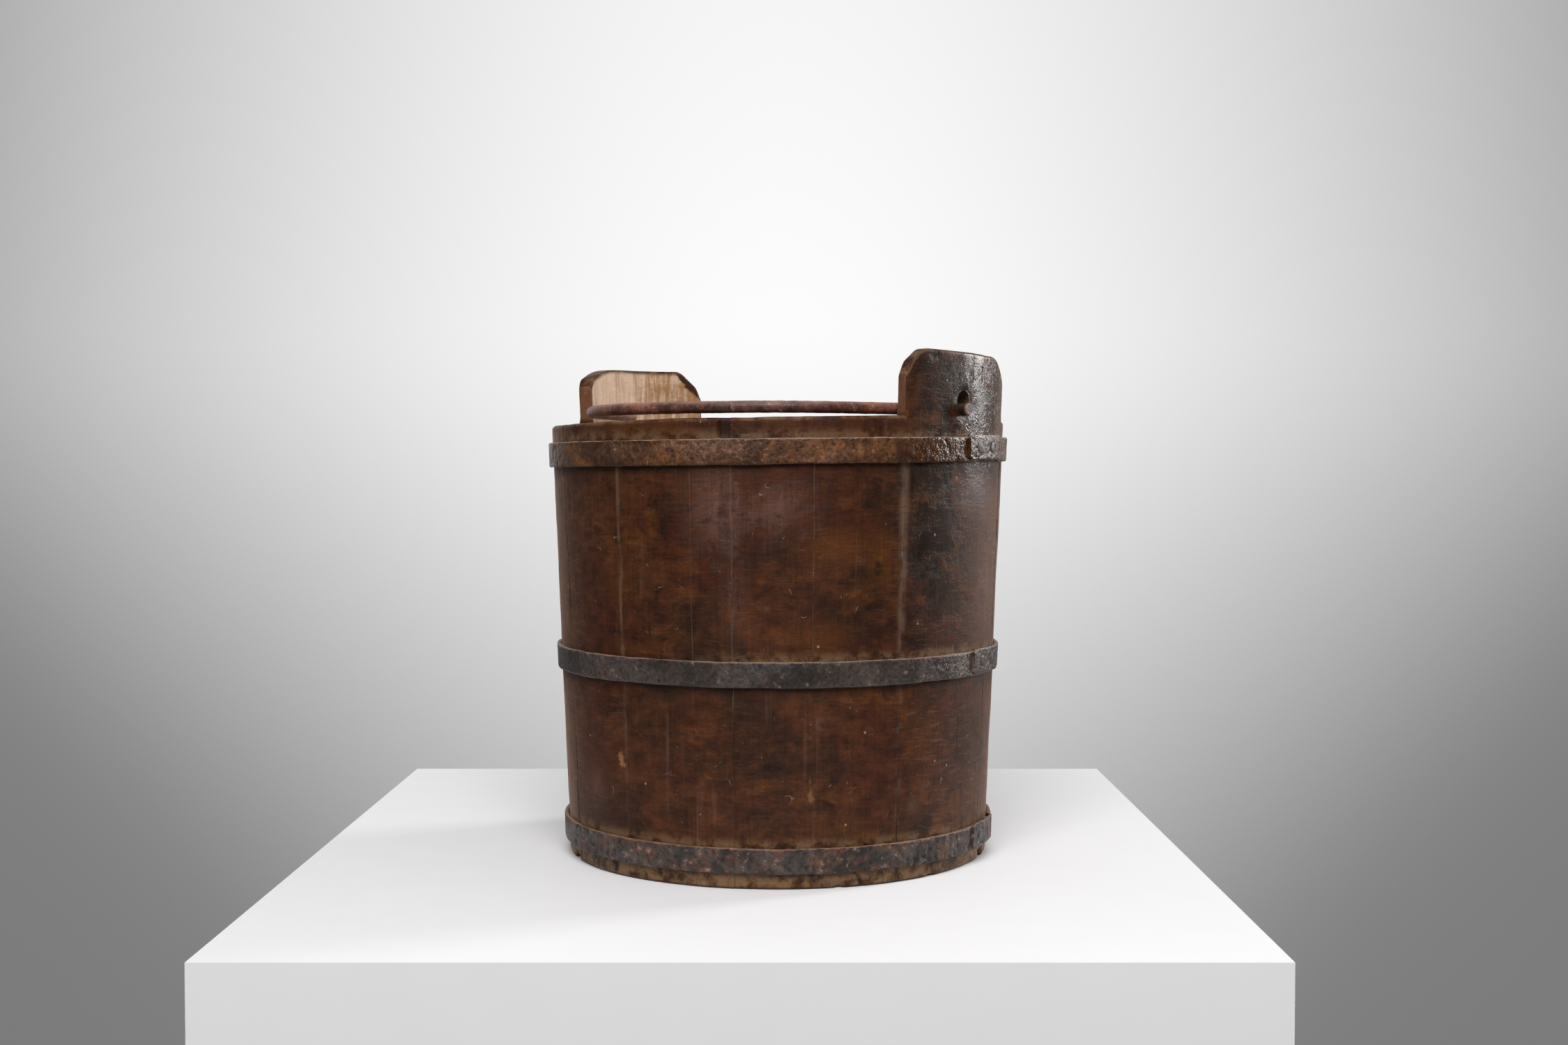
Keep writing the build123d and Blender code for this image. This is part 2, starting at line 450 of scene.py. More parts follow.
class Surface(Graph):
    """The node tree of a finish, with its shader."""

    sheen_rough = 0.3
    sheen_tint = tint(214, 174, 148)

    def __init__(self, name: str) -> None:
        """Starts a material.

        Args:
            name: Name of the finish.
        """
        self.material = bpy.data.materials.new(name)
        self.material.use_nodes = True
        super().__init__(self.material.node_tree)
        self.shader = self.tree.nodes["Principled BSDF"]
        self.where = self.add("ShaderNodeTexCoord", None, "Object")

    def stored(self, name: str, output: str = "Fac") -> Sock:
        """Is a value stored on the mesh."""
        return self.add("ShaderNodeAttribute", None, output, attribute_name=name)

    def facing(self, axis: int) -> Sock:
        """Is how far the surface faces along an axis, from minus one to one."""
        return self.split(self.add("ShaderNodeNewGeometry", None, "Normal"))[axis]

    def marked(self, mark: Spot, torn: Sock, border: float) -> Sock:
        """Is how strongly a mark shows.

        Args:
            mark: The mark.
            torn: How far its border is moved by the noises.
            border: Distance from its middle where it ends, where one is its half width.

        Returns:
            The mark's share, zero away from it and on the bucket's other side.
        """
        turn = radians(mark.turn_deg)
        side = self.vector("DOT_PRODUCT", self.where, (-sin(turn), cos(turn), 0.0))
        out = self.vector("DOT_PRODUCT", self.where, (cos(turn), sin(turn), 0.0))
        across = side / mark.half_width
        along = (self.split(self.where)[2] - mark.height) / mark.half_rise
        far = (across * across + along * along).root()
        return (far + torn).fade(border, 0.2) * out.fade(0.02, 0.06) * mark.strength

    def dress(
        self, colour: Sock, rough: Sock, relief: Sock, depth: float, specular: float, fuzz: float = 0.0
    ) -> Material:
        """Feeds the shader.

        Args:
            colour: Base colour.
            rough: Roughness.
            relief: Fine relief, about from zero to one.
            depth: Height of the relief in metres.
            specular: Strength of the gloss.
            fuzz: Strength of the dusty light seen along the surface.

        Returns:
            The finished material.
        """
        bump = self.add("ShaderNodeBump", {"Height": relief, "Distance": depth, "Strength": 1.0})
        inputs = {"Base Color": colour, "Roughness": rough, "Normal": bump, "Specular IOR Level": specular}
        inputs.update({"Sheen Weight": fuzz, "Sheen Roughness": self.sheen_rough})
        inputs["Sheen Tint"] = self.sheen_tint
        for name, value in inputs.items():
            self.feed(self.shader.inputs[name], value)
        return self.material


class WoodSurface(Surface):
    """The tree of the wood finish, with the places and noises that its layers share."""

    def __init__(self, name: str) -> None:
        """Reads the places stored on a stave, and lays the noises over them.

        Args:
            name: Name of the finish.
        """
        super().__init__(name)
        where = self.where
        self.place = self.stored("place", "Vector")
        self.across, self.depth, self.height = self.split(self.place)
        self.edge, self.rim, self.seam = map(self.stored, ("edge", "rim", "seam"))
        self.gloss, self.hollow = map(self.stored, ("gloss", "hollow"))
        self.corner, self.aside = map(self.stored, ("corner", "aside"))
        sideways = abs(self.facing(0)).fade(0.6, 0.35)
        # Where the walls of the bail's hole are, which get painted shade.
        self.bore_shade = sideways * abs(self.aside).fade(0.0100, 0.0085) * self.rim.fade(0.004, 0.010)
        upright = self.vector("MULTIPLY", self.place, (1.0, 1.0, 0.05))
        skin = self.stored("skin", "Vector")
        level = self.vector("MULTIPLY", skin, (0.14, 1.0, 1.0))
        self.fibre = self.noise(upright, 520.0, 3.0, 0.6)
        self.streak = self.noise(upright, 150.0, 3.0, 0.6, 0.2)
        self.brushed = self.noise(level, 460.0, 4.0, 0.7, 0.4)
        self.smear = self.noise(self.vector("MULTIPLY", skin, (0.5, 1.0, 1.0)), 80.0, 7.0, 0.74, 0.7)
        self.blotch = self.noise(where, 15.0, 4.0, 0.6, 0.4)
        self.patch = self.noise(self.vector("ADD", where, (0.37, 0.11, 0.53)), 22.0, 3.0, 0.55)
        self.stain = self.noise(self.vector("ADD", where, (1.31, 0.72, 0.2)), 11.0, 4.0, 0.6, 0.6)
        self.mottle = self.noise(where, 95.0, 4.0, 0.65, 0.3)
        self.speck = self.noise(where, 620.0, 2.0, 0.6)
        squat = self.vector("MULTIPLY", where, (1.0, 1.0, 1.4))
        self.wrinkle = abs(self.noise(squat, 125.0, 2.0, 0.5, 1.0) - 0.5).fade(0.11, 0.0)
        self.chosen = self.noise(self.vector("ADD", where, (0.8, 0.3, 0.6)), 150.0, 2.0)

    def spot(self, mark: Spot, ragged: float) -> Sock:
        """Is how strongly a mark shows, with a border as uneven as is asked."""
        torn = (self.smear - 0.5) * ragged + (self.mottle - 0.5) * ragged
        return self.marked(mark, torn, 1.3)

    def cracked(self, split: Split) -> Sock:
        """Is how strongly a crack shows, fading at its ends.

        Args:
            split: The crack.

        Returns:
            The crack's share.
        """
        wander = (self.mottle - 0.5) * 0.0016
        line = (abs(self.aside - split.aside + wander) / split.half_width).fade(1.2, 0.5)
        for end, step in ((split.low, split.taper), (split.high, -split.taper)):
            line = line * self.height.fade(end, end + step)
        return line


@dataclass(frozen=True)
class VarnishedWood:
    """Old dark varnish on the outside of the staves, over wood left bare inside."""

    brown: Colour = tint(70, 37, 16)
    red: Colour = tint(63, 28, 13)
    amber: Colour = tint(91, 51, 13)
    dark: Colour = tint(34, 22, 11)
    shade: Colour = tint(32, 18, 9)
    # Colour of the painted sheen patches and of the painted highlight on brush ridges, also laid on pale
    # upright drip streaks.
    sheen_and_streak: Colour = tint(110, 78, 68)
    side: Colour = tint(134, 88, 62)
    worn: Colour = tint(124, 96, 68)
    dust: Colour = tint(108, 84, 66)
    fleck: Colour = tint(186, 160, 138)
    chip: Colour = tint(164, 112, 70)
    bare: Colour = tint(206, 176, 152)
    bare_brown: Colour = tint(172, 134, 98)
    bare_stain: Colour = tint(150, 106, 62)
    bare_dark: Colour = tint(102, 70, 46)
    # Colour of the painted shade inside the bail's hole.
    bore_shade: Colour = tint(46, 24, 17)
    hoop_tops: tuple[float, ...] = (0.295, 0.150, 0.0275)
    hoop_feet: tuple[float, ...] = (0.278, 0.133, 0.0105)
    amber_spots: tuple[Spot, ...] = (
        Spot(-25.0, 0.216, 0.010, 0.020, 0.85),
        Spot(-36.0, 0.224, 0.024, 0.012, 0.75),
        Spot(-91.6, 0.201, 0.012, 0.016, 0.5),
        Spot(-39.7, 0.166, 0.024, 0.010, 0.5),
        Spot(-9.0, 0.096, 0.016, 0.014, 0.45),
        Spot(-80.0, 0.302, 0.034, 0.007, 0.5),
        Spot(-26.9, 0.0335, 0.0110, 0.0034, 0.7),
        Spot(-34.0, 0.040, 0.0200, 0.0080, 0.35),
    )
    smooth_spots: tuple[Spot, ...] = (
        Spot(-8.5, 0.229, 0.034, 0.034, 0.9),
        Spot(-12.0, 0.268, 0.030, 0.016, 0.8),
        Spot(-6.0, 0.190, 0.028, 0.024, 0.6),
    )
    dark_spots: tuple[Spot, ...] = (
        Spot(-25.0, 0.252, 0.024, 0.018, 0.5),
        Spot(-29.5, 0.200, 0.014, 0.014, 0.4),
        Spot(-78.0, 0.246, 0.016, 0.016, 0.5),
        Spot(-74.0, 0.180, 0.034, 0.014, 0.4),
        Spot(-66.3, 0.225, 0.016, 0.016, 0.35),
        Spot(-38.0, 0.085, 0.030, 0.016, 0.45),
        Spot(-122.0, 0.220, 0.030, 0.060, 0.5),
        Spot(-5.0, 0.330, 0.036, 0.026, 0.8),
        Spot(9.0, 0.320, 0.030, 0.026, 0.6),
    )
    # Painted sheen: pale patches where the varnish catches the light, listed by place.
    painted_sheen_patches: tuple[Spot, ...] = (
        Spot(-64.0, 0.250, 0.024, 0.034, 1.0),
        Spot(-50.0, 0.250, 0.026, 0.020, 0.8),
        Spot(-104.0, 0.056, 0.014, 0.018, 0.6),
        Spot(-60.0, 0.190, 0.010, 0.030, 0.35),
        Spot(-39.8, 0.110, 0.0040, 0.0060, 0.7),
        Spot(-14.0, 0.050, 0.0070, 0.0090, 0.5),
        Spot(6.0, 0.255, 0.0300, 0.0160, 0.35),
        Spot(15.0, 0.200, 0.0220, 0.0600, 1.0),
    )
    chip_spots: tuple[Spot, ...] = (
        Spot(-93.1, 0.078, 0.0030, 0.0068, 0.6),
        Spot(-46.4, 0.060, 0.0020, 0.0026, 0.5),
        Spot(-42.0, 0.064, 0.0018, 0.0070, 0.4),
    )
    gouges: tuple[Spot, ...] = (
        Spot(-11.0, 0.3505, 0.0045, 0.0055, 1.0),
        Spot(8.2, 0.340, 0.0010, 0.0050, 1.0),
        Spot(3.0, 0.337, 0.0030, 0.0070, 0.6),
        Spot(-77.0, 0.006, 0.0100, 0.0040, 0.6),
    )
    splits: tuple[Split, ...] = (
        Split(0.0450, 0.296, 0.346, 0.0010),
        Split(0.0475, 0.018, 0.132, 0.0010),
        Split(0.0112, 0.316, 0.358, 0.0005),
        Split(0.0065, 0.030, 0.112, 0.0004),
    )
    dark_ragged: float = 2.0
    gouge_ragged: float = 3.0
    relief_depth: float = 0.00035
    specular: float = 0.20
    fuzz: float = 0.34

    def coat(self, w: WoodSurface) -> Sock:
        """Colours the varnish: broad patches, stains, brush marks and flecks, with painted sheen patches and
        a painted highlight on the brush ridges.

        Args:
            w: The wood's tree.

        Returns:
            The colour.
        """
        colour = w.paint(
            self.red,
            ((w.blotch * 0.7 + w.smear * 0.3).fade(0.36, 0.62), self.brown),
            ((w.patch * 0.6 + w.smear * 0.4).fade(0.50, 0.68) * 0.5, self.amber),
            ((w.stain * 0.7 + w.smear * 0.3).fade(0.52, 0.36) * 0.6, self.dark),
        )
        broken = (w.smear + w.mottle + w.streak - 1.0).clip(0.0, 1.0)
        # The last layer of marks is painted sheen, broken up by the noises.
        for marks, shade, share, ragged in (
            (self.amber_spots, self.amber, 1.0, 3.5),
            (self.smooth_spots + self.dark_spots, self.shade, 1.0, self.dark_ragged),
            (self.painted_sheen_patches, self.sheen_and_streak, broken, 3.0),
        ):
            colour = w.paint(colour, *((w.spot(mark, ragged) * share, shade) for mark in marks))
        tone = (w.smear - 0.5) * 1.6 + (w.mottle - 0.5) * 1.8 + (w.brushed - 0.5) * 1.1
        tone = tone + (w.fibre - 0.5) * 0.9 + (w.speck - 0.5) * 0.7 + 1.0
        drip = w.streak.fade(0.57, 0.72) * w.blotch.fade(0.46, 0.60)
        ridge = w.brushed.fade(0.60, 0.74) * w.patch.fade(0.42, 0.58)
        curl = abs(w.noise(w.where, 42.0, 1.0, 0.5, 1.4) - 0.5).fade(0.0050, 0.0016)
        pick = w.split(w.cells(w.place, 150.0, "Color"))
        flecked = (w.cells(w.place, 150.0) / (pick[1] * 0.10 + 0.04)).fade(1.2, 0.6)
        # Over the toned colour: pale drip streaks, a painted highlight on the brush ridges (ridge), curled
        # scratches and flecks.
        return w.paint(
            w.toned(colour, tone.clip(0.4, 2.0)),
            (drip * 0.30, self.sheen_and_streak),
            (ridge * 0.18, self.sheen_and_streak),
            (curl * w.chosen.fade(0.61, 0.67) * 0.4, self.fleck),
            (flecked * pick[0].fade(0.92, 0.94) * 0.5, self.fleck),
        )

    def wear(self, w: WoodSurface, colour: Sock) -> Sock:
        """Adds dust and rubbing by the hoops with a rust stain and painted shade under them, wear and a
        painted contact shadow at the foot, rubbing on the rim, and chips, gouges, cracks and a darker notch.

        Args:
            w: The wood's tree.
            colour: Colour of the varnish.

        Returns:
            The worn colour.
        """
        height = w.height
        right = w.vector("DOT_PRODUCT", w.where, (1.0, -0.2, 0.0)).fade(0.06, 0.13)
        for top, foot, share in zip(self.hoop_tops, self.hoop_feet, (0.6, right * 0.7, 0.6)):
            lip = (height - top).fade(0.008, 0.0005) * (height - top).fade(-0.002, 0.0)
            # Darker wood under each hoop's lower edge: partly a rust stain, partly painted shade under the
            # hoop.
            under = (foot - height).fade(0.010, 0.001) * (foot - height).fade(-0.002, 0.0)
            colour = w.paint(
                colour,
                (lip * w.mottle.fade(0.38, 0.60) * share, self.worn),
                (under * w.blotch.fade(0.3, 0.6) * 0.45, self.dark),
            )
        cut = w.edge.fade(0.0016, 0.0004) * height.fade(0.309, 0.314) * w.depth.fade(0.0002, 0.0012)
        return w.paint(
            colour,
            (height.fade(0.0125, 0.0085) * w.mottle.fade(0.34, 0.60) * 0.8, self.worn),
            # Painted contact shadow along the lowest two millimetres of the foot.
            (height.fade(0.0022, 0.0008) * 0.7, self.dark),
            (w.rim.fade(0.0034, 0.0004) * w.mottle.fade(0.42, 0.62) * 0.55, self.worn),
            (cut * (w.smear + 0.15), self.side),
            *((w.spot(mark, 5.0), self.chip) for mark in self.chip_spots),
            *((w.spot(mark, self.gouge_ragged) * 0.6, self.dark) for mark in self.gouges),
            *((w.cracked(split) * 0.85, self.dark) for split in self.splits),
            (w.hollow.fade(0.2, 0.9) * 0.78, self.dark),
        )

    def joints(self, w: WoodSurface, colour: Sock) -> Sock:
        """Draws the joints: a dark line, and old filling that shows pale in places.

        Args:
            w: The wood's tree.
            colour: Colour of the wood.

        Returns:
            The colour with its joints.
        """
        run = w.noise(w.join(w.across * 0.5, 0.0, w.height), 30.0, 4.0, 0.65)
        run = run + (w.height - 0.16) * 0.7
        band = (run * 0.0064 + 0.0003) * (w.seam ** 4.0 + 0.10)
        plain = w.height.fade(0.299, 0.290) * w.height.fade(0.008, 0.020)
        pale = (w.edge / band).fade(1.2, 0.1) * run.fade(0.40, 0.60) * plain
        pale = pale * (w.smear + 0.45).clip(0.0, 1.0)
        line = (w.edge / 0.00030).fade(1.5, 0.4) * (1.0 - pale) * run.fade(0.62, 0.46)
        faint = w.height.fade(0.02, 0.20) * 0.5 + 0.5
        dusty = pale * faint * (w.seam * 0.2 + 0.55)
        return w.paint(colour, (line * (w.seam * 0.4 + 0.2), self.dark), (dusty, self.dust))

    def inner_face(self, w: WoodSurface) -> Sock:
        """Colours the bare wood inside: fine upright stripes, darker below the rim.

        Args:
            w: The wood's tree.

        Returns:
            The colour.
        """
        stripe = w.noise(w.join(w.across, 0.0, w.height * 0.10), 190.0, 5.0, 0.72, 0.6)
        colour = w.mix(stripe.fade(0.42, 0.72) * 0.7, self.bare, self.bare_brown)
        stained = w.aside.fade(0.010, -0.030) * (stripe * 0.6 + w.smear * 0.4).fade(0.40, 0.58)
        return w.paint(
            w.toned(colour, (w.mottle - 0.5) * 0.5 + (w.fibre - 0.5) * 0.5 + 1.0),
            (stained * 0.9, self.bare_stain),
            (w.streak.fade(0.60, 0.80) * 0.4, self.bare_dark),
            (w.height.fade(0.312, 0.27) * 0.78, self.bare_dark),
        )

    def material(self) -> Material:
        """Writes the finish.

        Returns:
            The material.
        """
        w = WoodSurface("varnished_wood")
        colour = self.joints(w, self.wear(w, self.coat(w)))
        bare = w.depth.fade(0.0075, 0.0105) * w.edge.fade(0.0008, 0.0022) * w.rim.fade(0.001, 0.004)
        bare = bare * (w.corner + (w.mottle - 0.5) * 0.012).fade(0.006, 0.009)
        # Bare wood inside, then painted shade on the walls of the bail's hole.
        colour = w.paint(colour, (bare, self.inner_face(w)), (w.bore_shade * 0.9, self.bore_shade))
        shiny = w.gloss * (w.aside - (w.mottle - 0.5) * 0.05).fade(-0.048, 0.004)
        shiny = shiny * w.aside.fade(0.082, 0.060)
        raised = w.height.fade(0.235, 0.290) * (w.aside - (w.mottle - 0.5) * 0.06).fade(-0.034, 0.040)
        wrinkled = w.wrinkle * w.mottle.fade(0.42, 0.60) * (shiny * raised * 0.55 + 0.04)
        ridge = w.brushed.fade(0.56, 0.66) * w.patch.fade(0.36, 0.56)
        smooth = shiny
        for mark in self.smooth_spots:
            smooth = smooth.most(w.spot(mark, self.dark_ragged))
        rough = w.blotch * 0.20 + w.speck * 0.20 + bare * 0.15 - ridge * 0.1 + 0.40
        rough = rough - shiny * 0.25 - smooth * 0.10
        relief = w.fibre * 0.3 + w.brushed * 0.4 + w.speck * 0.5 + w.streak * 0.3 + w.smear * 0.8
        relief = (relief + ridge * 0.45) * (1.0 - smooth * 0.85) + wrinkled
        for split in self.splits:
            relief = relief - w.cracked(split) * 1.5
        for mark in self.gouges:
            relief = relief - w.spot(mark, self.gouge_ragged) * 2.0
        return w.dress(colour, rough, relief, self.relief_depth, self.specular, self.fuzz)


@dataclass(frozen=True)
class BoardWood:
    """Bare wood of the bottom boards and their dowels, with the grain along X."""

    pale: Colour = tint(142, 112, 84)
    brown: Colour = tint(104, 76, 54)
    dark: Colour = tint(66, 48, 36)
    joint_offset: float = 0.052
    relief_depth: float = 0.0005
    specular: float = 0.3

    def material(self) -> Material:
        """Writes the finish.

        Returns:
            The material.
        """
        s = Surface("board_wood")
        along = s.vector("MULTIPLY", s.where, (0.06, 1.0, 1.0))
        fibre = s.noise(along, 420.0, 3.0, 0.6)
        streak = s.noise(along, 90.0, 3.0, 0.55, 0.4)
        stain = s.noise(s.where, 14.0, 4.0, 0.6, 0.5)
        seams = (abs(s.split(s.where)[1]) - self.joint_offset).fade(0.0, 0.0012)
        colour = s.paint(
            self.pale,
            (streak.fade(0.36, 0.68), self.brown),
            (fibre.fade(0.5, 0.85) * 0.6, self.dark),
            (stain.fade(0.48, 0.7) * 0.7, self.dark),
            ((1.0 - seams) * (1.0 - fibre) * 0.3, self.dark),
        )
        relief = fibre * 0.7 + streak * 0.4
        return s.dress(colour, stain * 0.2 + 0.55, relief, self.relief_depth, self.specular)


@dataclass(frozen=True)
class Iron:
    """Forged strap or rod: dark scale, rust, pale dust and pits, with painted sheen spots and painted glints.
    """

    name: str
    scale: Colour
    cool: Colour
    rust: Colour
    bright: Colour
    dust: Colour
    rust_from: float = 0.52
    bright_from: float = 0.60
    rough: float = 0.42
    pits: float = 0.0005
    pit_scale: float = 480.0
    contrast: float = 0.8
    glints: float = 0.0
    specular: float = 0.5
    # Painted sheen: pale spots where the strap catches the light, listed by angle and height.
    painted_sheen_spots: tuple[Spot, ...] = ()
    gloss_spots: tuple[Spot, ...] = ()
    tips: tuple[float, float, float] | None = None

    def material(self) -> Material:
        """Writes the finish.

        Returns:
            The material.
        """
        s = Surface(self.name)
        broad = s.noise(s.where, 26.0, 4.0, 0.6, 0.5)
        patch = s.noise(s.vector("ADD", s.where, (0.5, 0.9, 0.1)), 60.0, 4.0, 0.65, 0.4)
        spots = s.noise(s.where, 210.0, 3.0, 0.6)
        pits = s.noise(s.where, self.pit_scale, 3.0, 0.65)
        grit = s.noise(s.where, 1300.0, 2.0, 0.5)
        torn = (patch - 0.5) * 2.0
        rusty = (patch * 0.7 + broad * 0.3).fade(self.rust_from, self.rust_from + 0.14)
        speckled = spots + grit.fade(0.5, 0.7) * 0.8 - 0.1
        colour = s.paint(
            self.scale,
            (broad.fade(0.38, 0.62), self.cool),
            (rusty * 0.85, self.rust),
            (spots.fade(self.bright_from, self.bright_from + 0.12) * 0.6, self.bright),
            # painted sheen spots
            *((s.marked(mark, torn, 1.2) * speckled, self.bright) for mark in self.painted_sheen_spots),
            (pits.fade(0.48, 0.30) * 0.5, self.scale),
        )
        tone = ((spots - 0.5) * 2.0 + (pits - 0.5) * 2.0) * self.contrast + 1.0
        pick = s.split(s.cells(s.where, 420.0, "Color"))
        point = (s.cells(s.where, 420.0) / (pick[1] * 0.16 + 0.10)).fade(1.2, 0.5)
        point = point * pick[0].fade(0.86, 0.90) * patch.fade(0.40, 0.55)
        dusty = s.facing(2).fade(0.35, 0.85) * patch.fade(0.25, 0.6)
        colour = s.paint(
            s.toned(colour, tone.clip(0.3, 2.0)),
            # Painted glints: pale points in the dust colour.
            (point * self.glints, self.dust),
            (dusty * 0.7, self.dust),
            (grit.fade(0.68, 0.8) * 0.25, self.dust),
        )
        if self.tips:
            colour = self.tipped(s, colour, *self.tips)
        rough = pits * 0.25 + rusty * 0.15 + dusty * 0.2 + self.rough - 0.12
        for mark in self.gloss_spots:
            rough = rough - s.marked(mark, torn, 1.2)
        relief = pits * 0.7 + spots * 0.5 + grit * 0.15
        return s.dress(colour, rough, relief, self.pits, self.specular)

    def tipped(self, s: Surface, colour: Sock, reach: float, height: float, radius: float) -> Sock:
        """Darkens the pins of the rod, and paints a highlight on the rims of their ends.

        Args:
            s: The finish that is being written.
            colour: Colour of the rod.
            reach: How far the pins reach on X.
            height: Height of the pins.
            radius: Radius of their ends.

        Returns:
            The colour with its pins.
        """
        x, y, z = s.split(s.where)
        middle = (y * y + (z - height) ** 2.0).root()
        pin = abs(x).fade(reach - 0.014, reach - 0.008)
        # Painted highlight on the rims of the pins' ends, in the dust colour.
        rim_highlight = abs(x).fade(reach - 0.0016, reach - 0.0006) * middle.fade(radius * 0.85, radius)
        black = tuple(c * 0.35 for c in self.scale)
        return s.paint(colour, (pin * 0.9, black), (rim_highlight * 0.6, self.dust))


BLACK_IRON = Iron(
    "black_iron",
    scale=tint(43, 35, 30),
    cool=tint(72, 62, 58),
    rust=tint(94, 58, 44),
    bright=tint(118, 100, 90),
    dust=tint(146, 124, 106),
    rust_from=0.58,
    bright_from=0.62,
    contrast=0.6,
    glints=0.4,
    pits=0.0008,
    pit_scale=420.0,
    specular=0.45,
    # painted sheen on the hoop's right end
    painted_sheen_spots=(Spot(9.0, 0.1415, 0.034, 0.020, 0.7),),
    gloss_spots=(Spot(4.0, 0.1415, 0.050, 0.030, 0.06),),
)
PITTED_IRON = Iron(
    "pitted_iron",
    scale=tint(38, 31, 28),
    cool=tint(72, 64, 60),
    rust=tint(88, 57, 44),
    bright=tint(128, 104, 90),
    dust=tint(150, 114, 90),
    rust_from=0.47,
    bright_from=0.59,
    contrast=1.0,
    glints=0.45,
    pits=0.0012,
    pit_scale=300.0,
    specular=0.35,
)
VARNISHED_IRON = Iron(
    "varnished_iron",
    scale=tint(62, 36, 20),
    cool=tint(86, 53, 32),
    rust=tint(114, 70, 31),
    bright=tint(142, 104, 84),
    dust=tint(176, 150, 134),
    rust_from=0.50,
    bright_from=0.64,
    rough=0.36,
    pits=0.0009,
    pit_scale=430.0,
    contrast=0.9,
    glints=0.3,
    specular=0.45,
    # painted sheen along the top hoop
    painted_sheen_spots=(
        Spot(-68.5, 0.288, 0.036, 0.010, 0.7),
        Spot(-88.0, 0.286, 0.030, 0.008, 0.4),
        Spot(-36.0, 0.285, 0.024, 0.008, 0.3),
    ),
    gloss_spots=(Spot(2.0, 0.2865, 0.070, 0.050, 0.20),),
)
RIVET_IRON = Iron(
    "rivet_iron",
    scale=tint(52, 40, 33),
    cool=tint(72, 58, 49),
    rust=tint(92, 64, 44),
    bright=tint(104, 88, 76),
    dust=tint(112, 92, 78),
)
ROD_IRON = Iron(
    "rod_iron",
    scale=tint(74, 43, 36),
    cool=tint(124, 80, 67),
    rust=tint(168, 92, 54),
    bright=tint(150, 112, 96),
    dust=tint(146, 112, 96),
    rust_from=0.54,
    rough=0.46,
    tips=(0.1681, 0.3149, 0.0036),
)


def fit(piece: bpy.types.Object, body: Body, slot: Slot, *nodes: str) -> None:
    """Puts a piece on its body in place of its nodes.

    Args:
        piece: The piece.
        body: The body that it moves with.
        slot: The slot for its finish; not used.
        *nodes: The nodes that it stands for.
    """
    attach(piece, body.value)
    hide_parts(*nodes)
    log.info("%s: %d faces on %s", piece.name, len(piece.data.polygons), body.value)


@dataclass(frozen=True)
class Ear:
    """What an ear adds to its stave: its hole, and the corner clipped off at each edge."""

    hole_deg: float
    hole: Pair
    low_clip: Pair
    high_clip: Pair
    lean: float


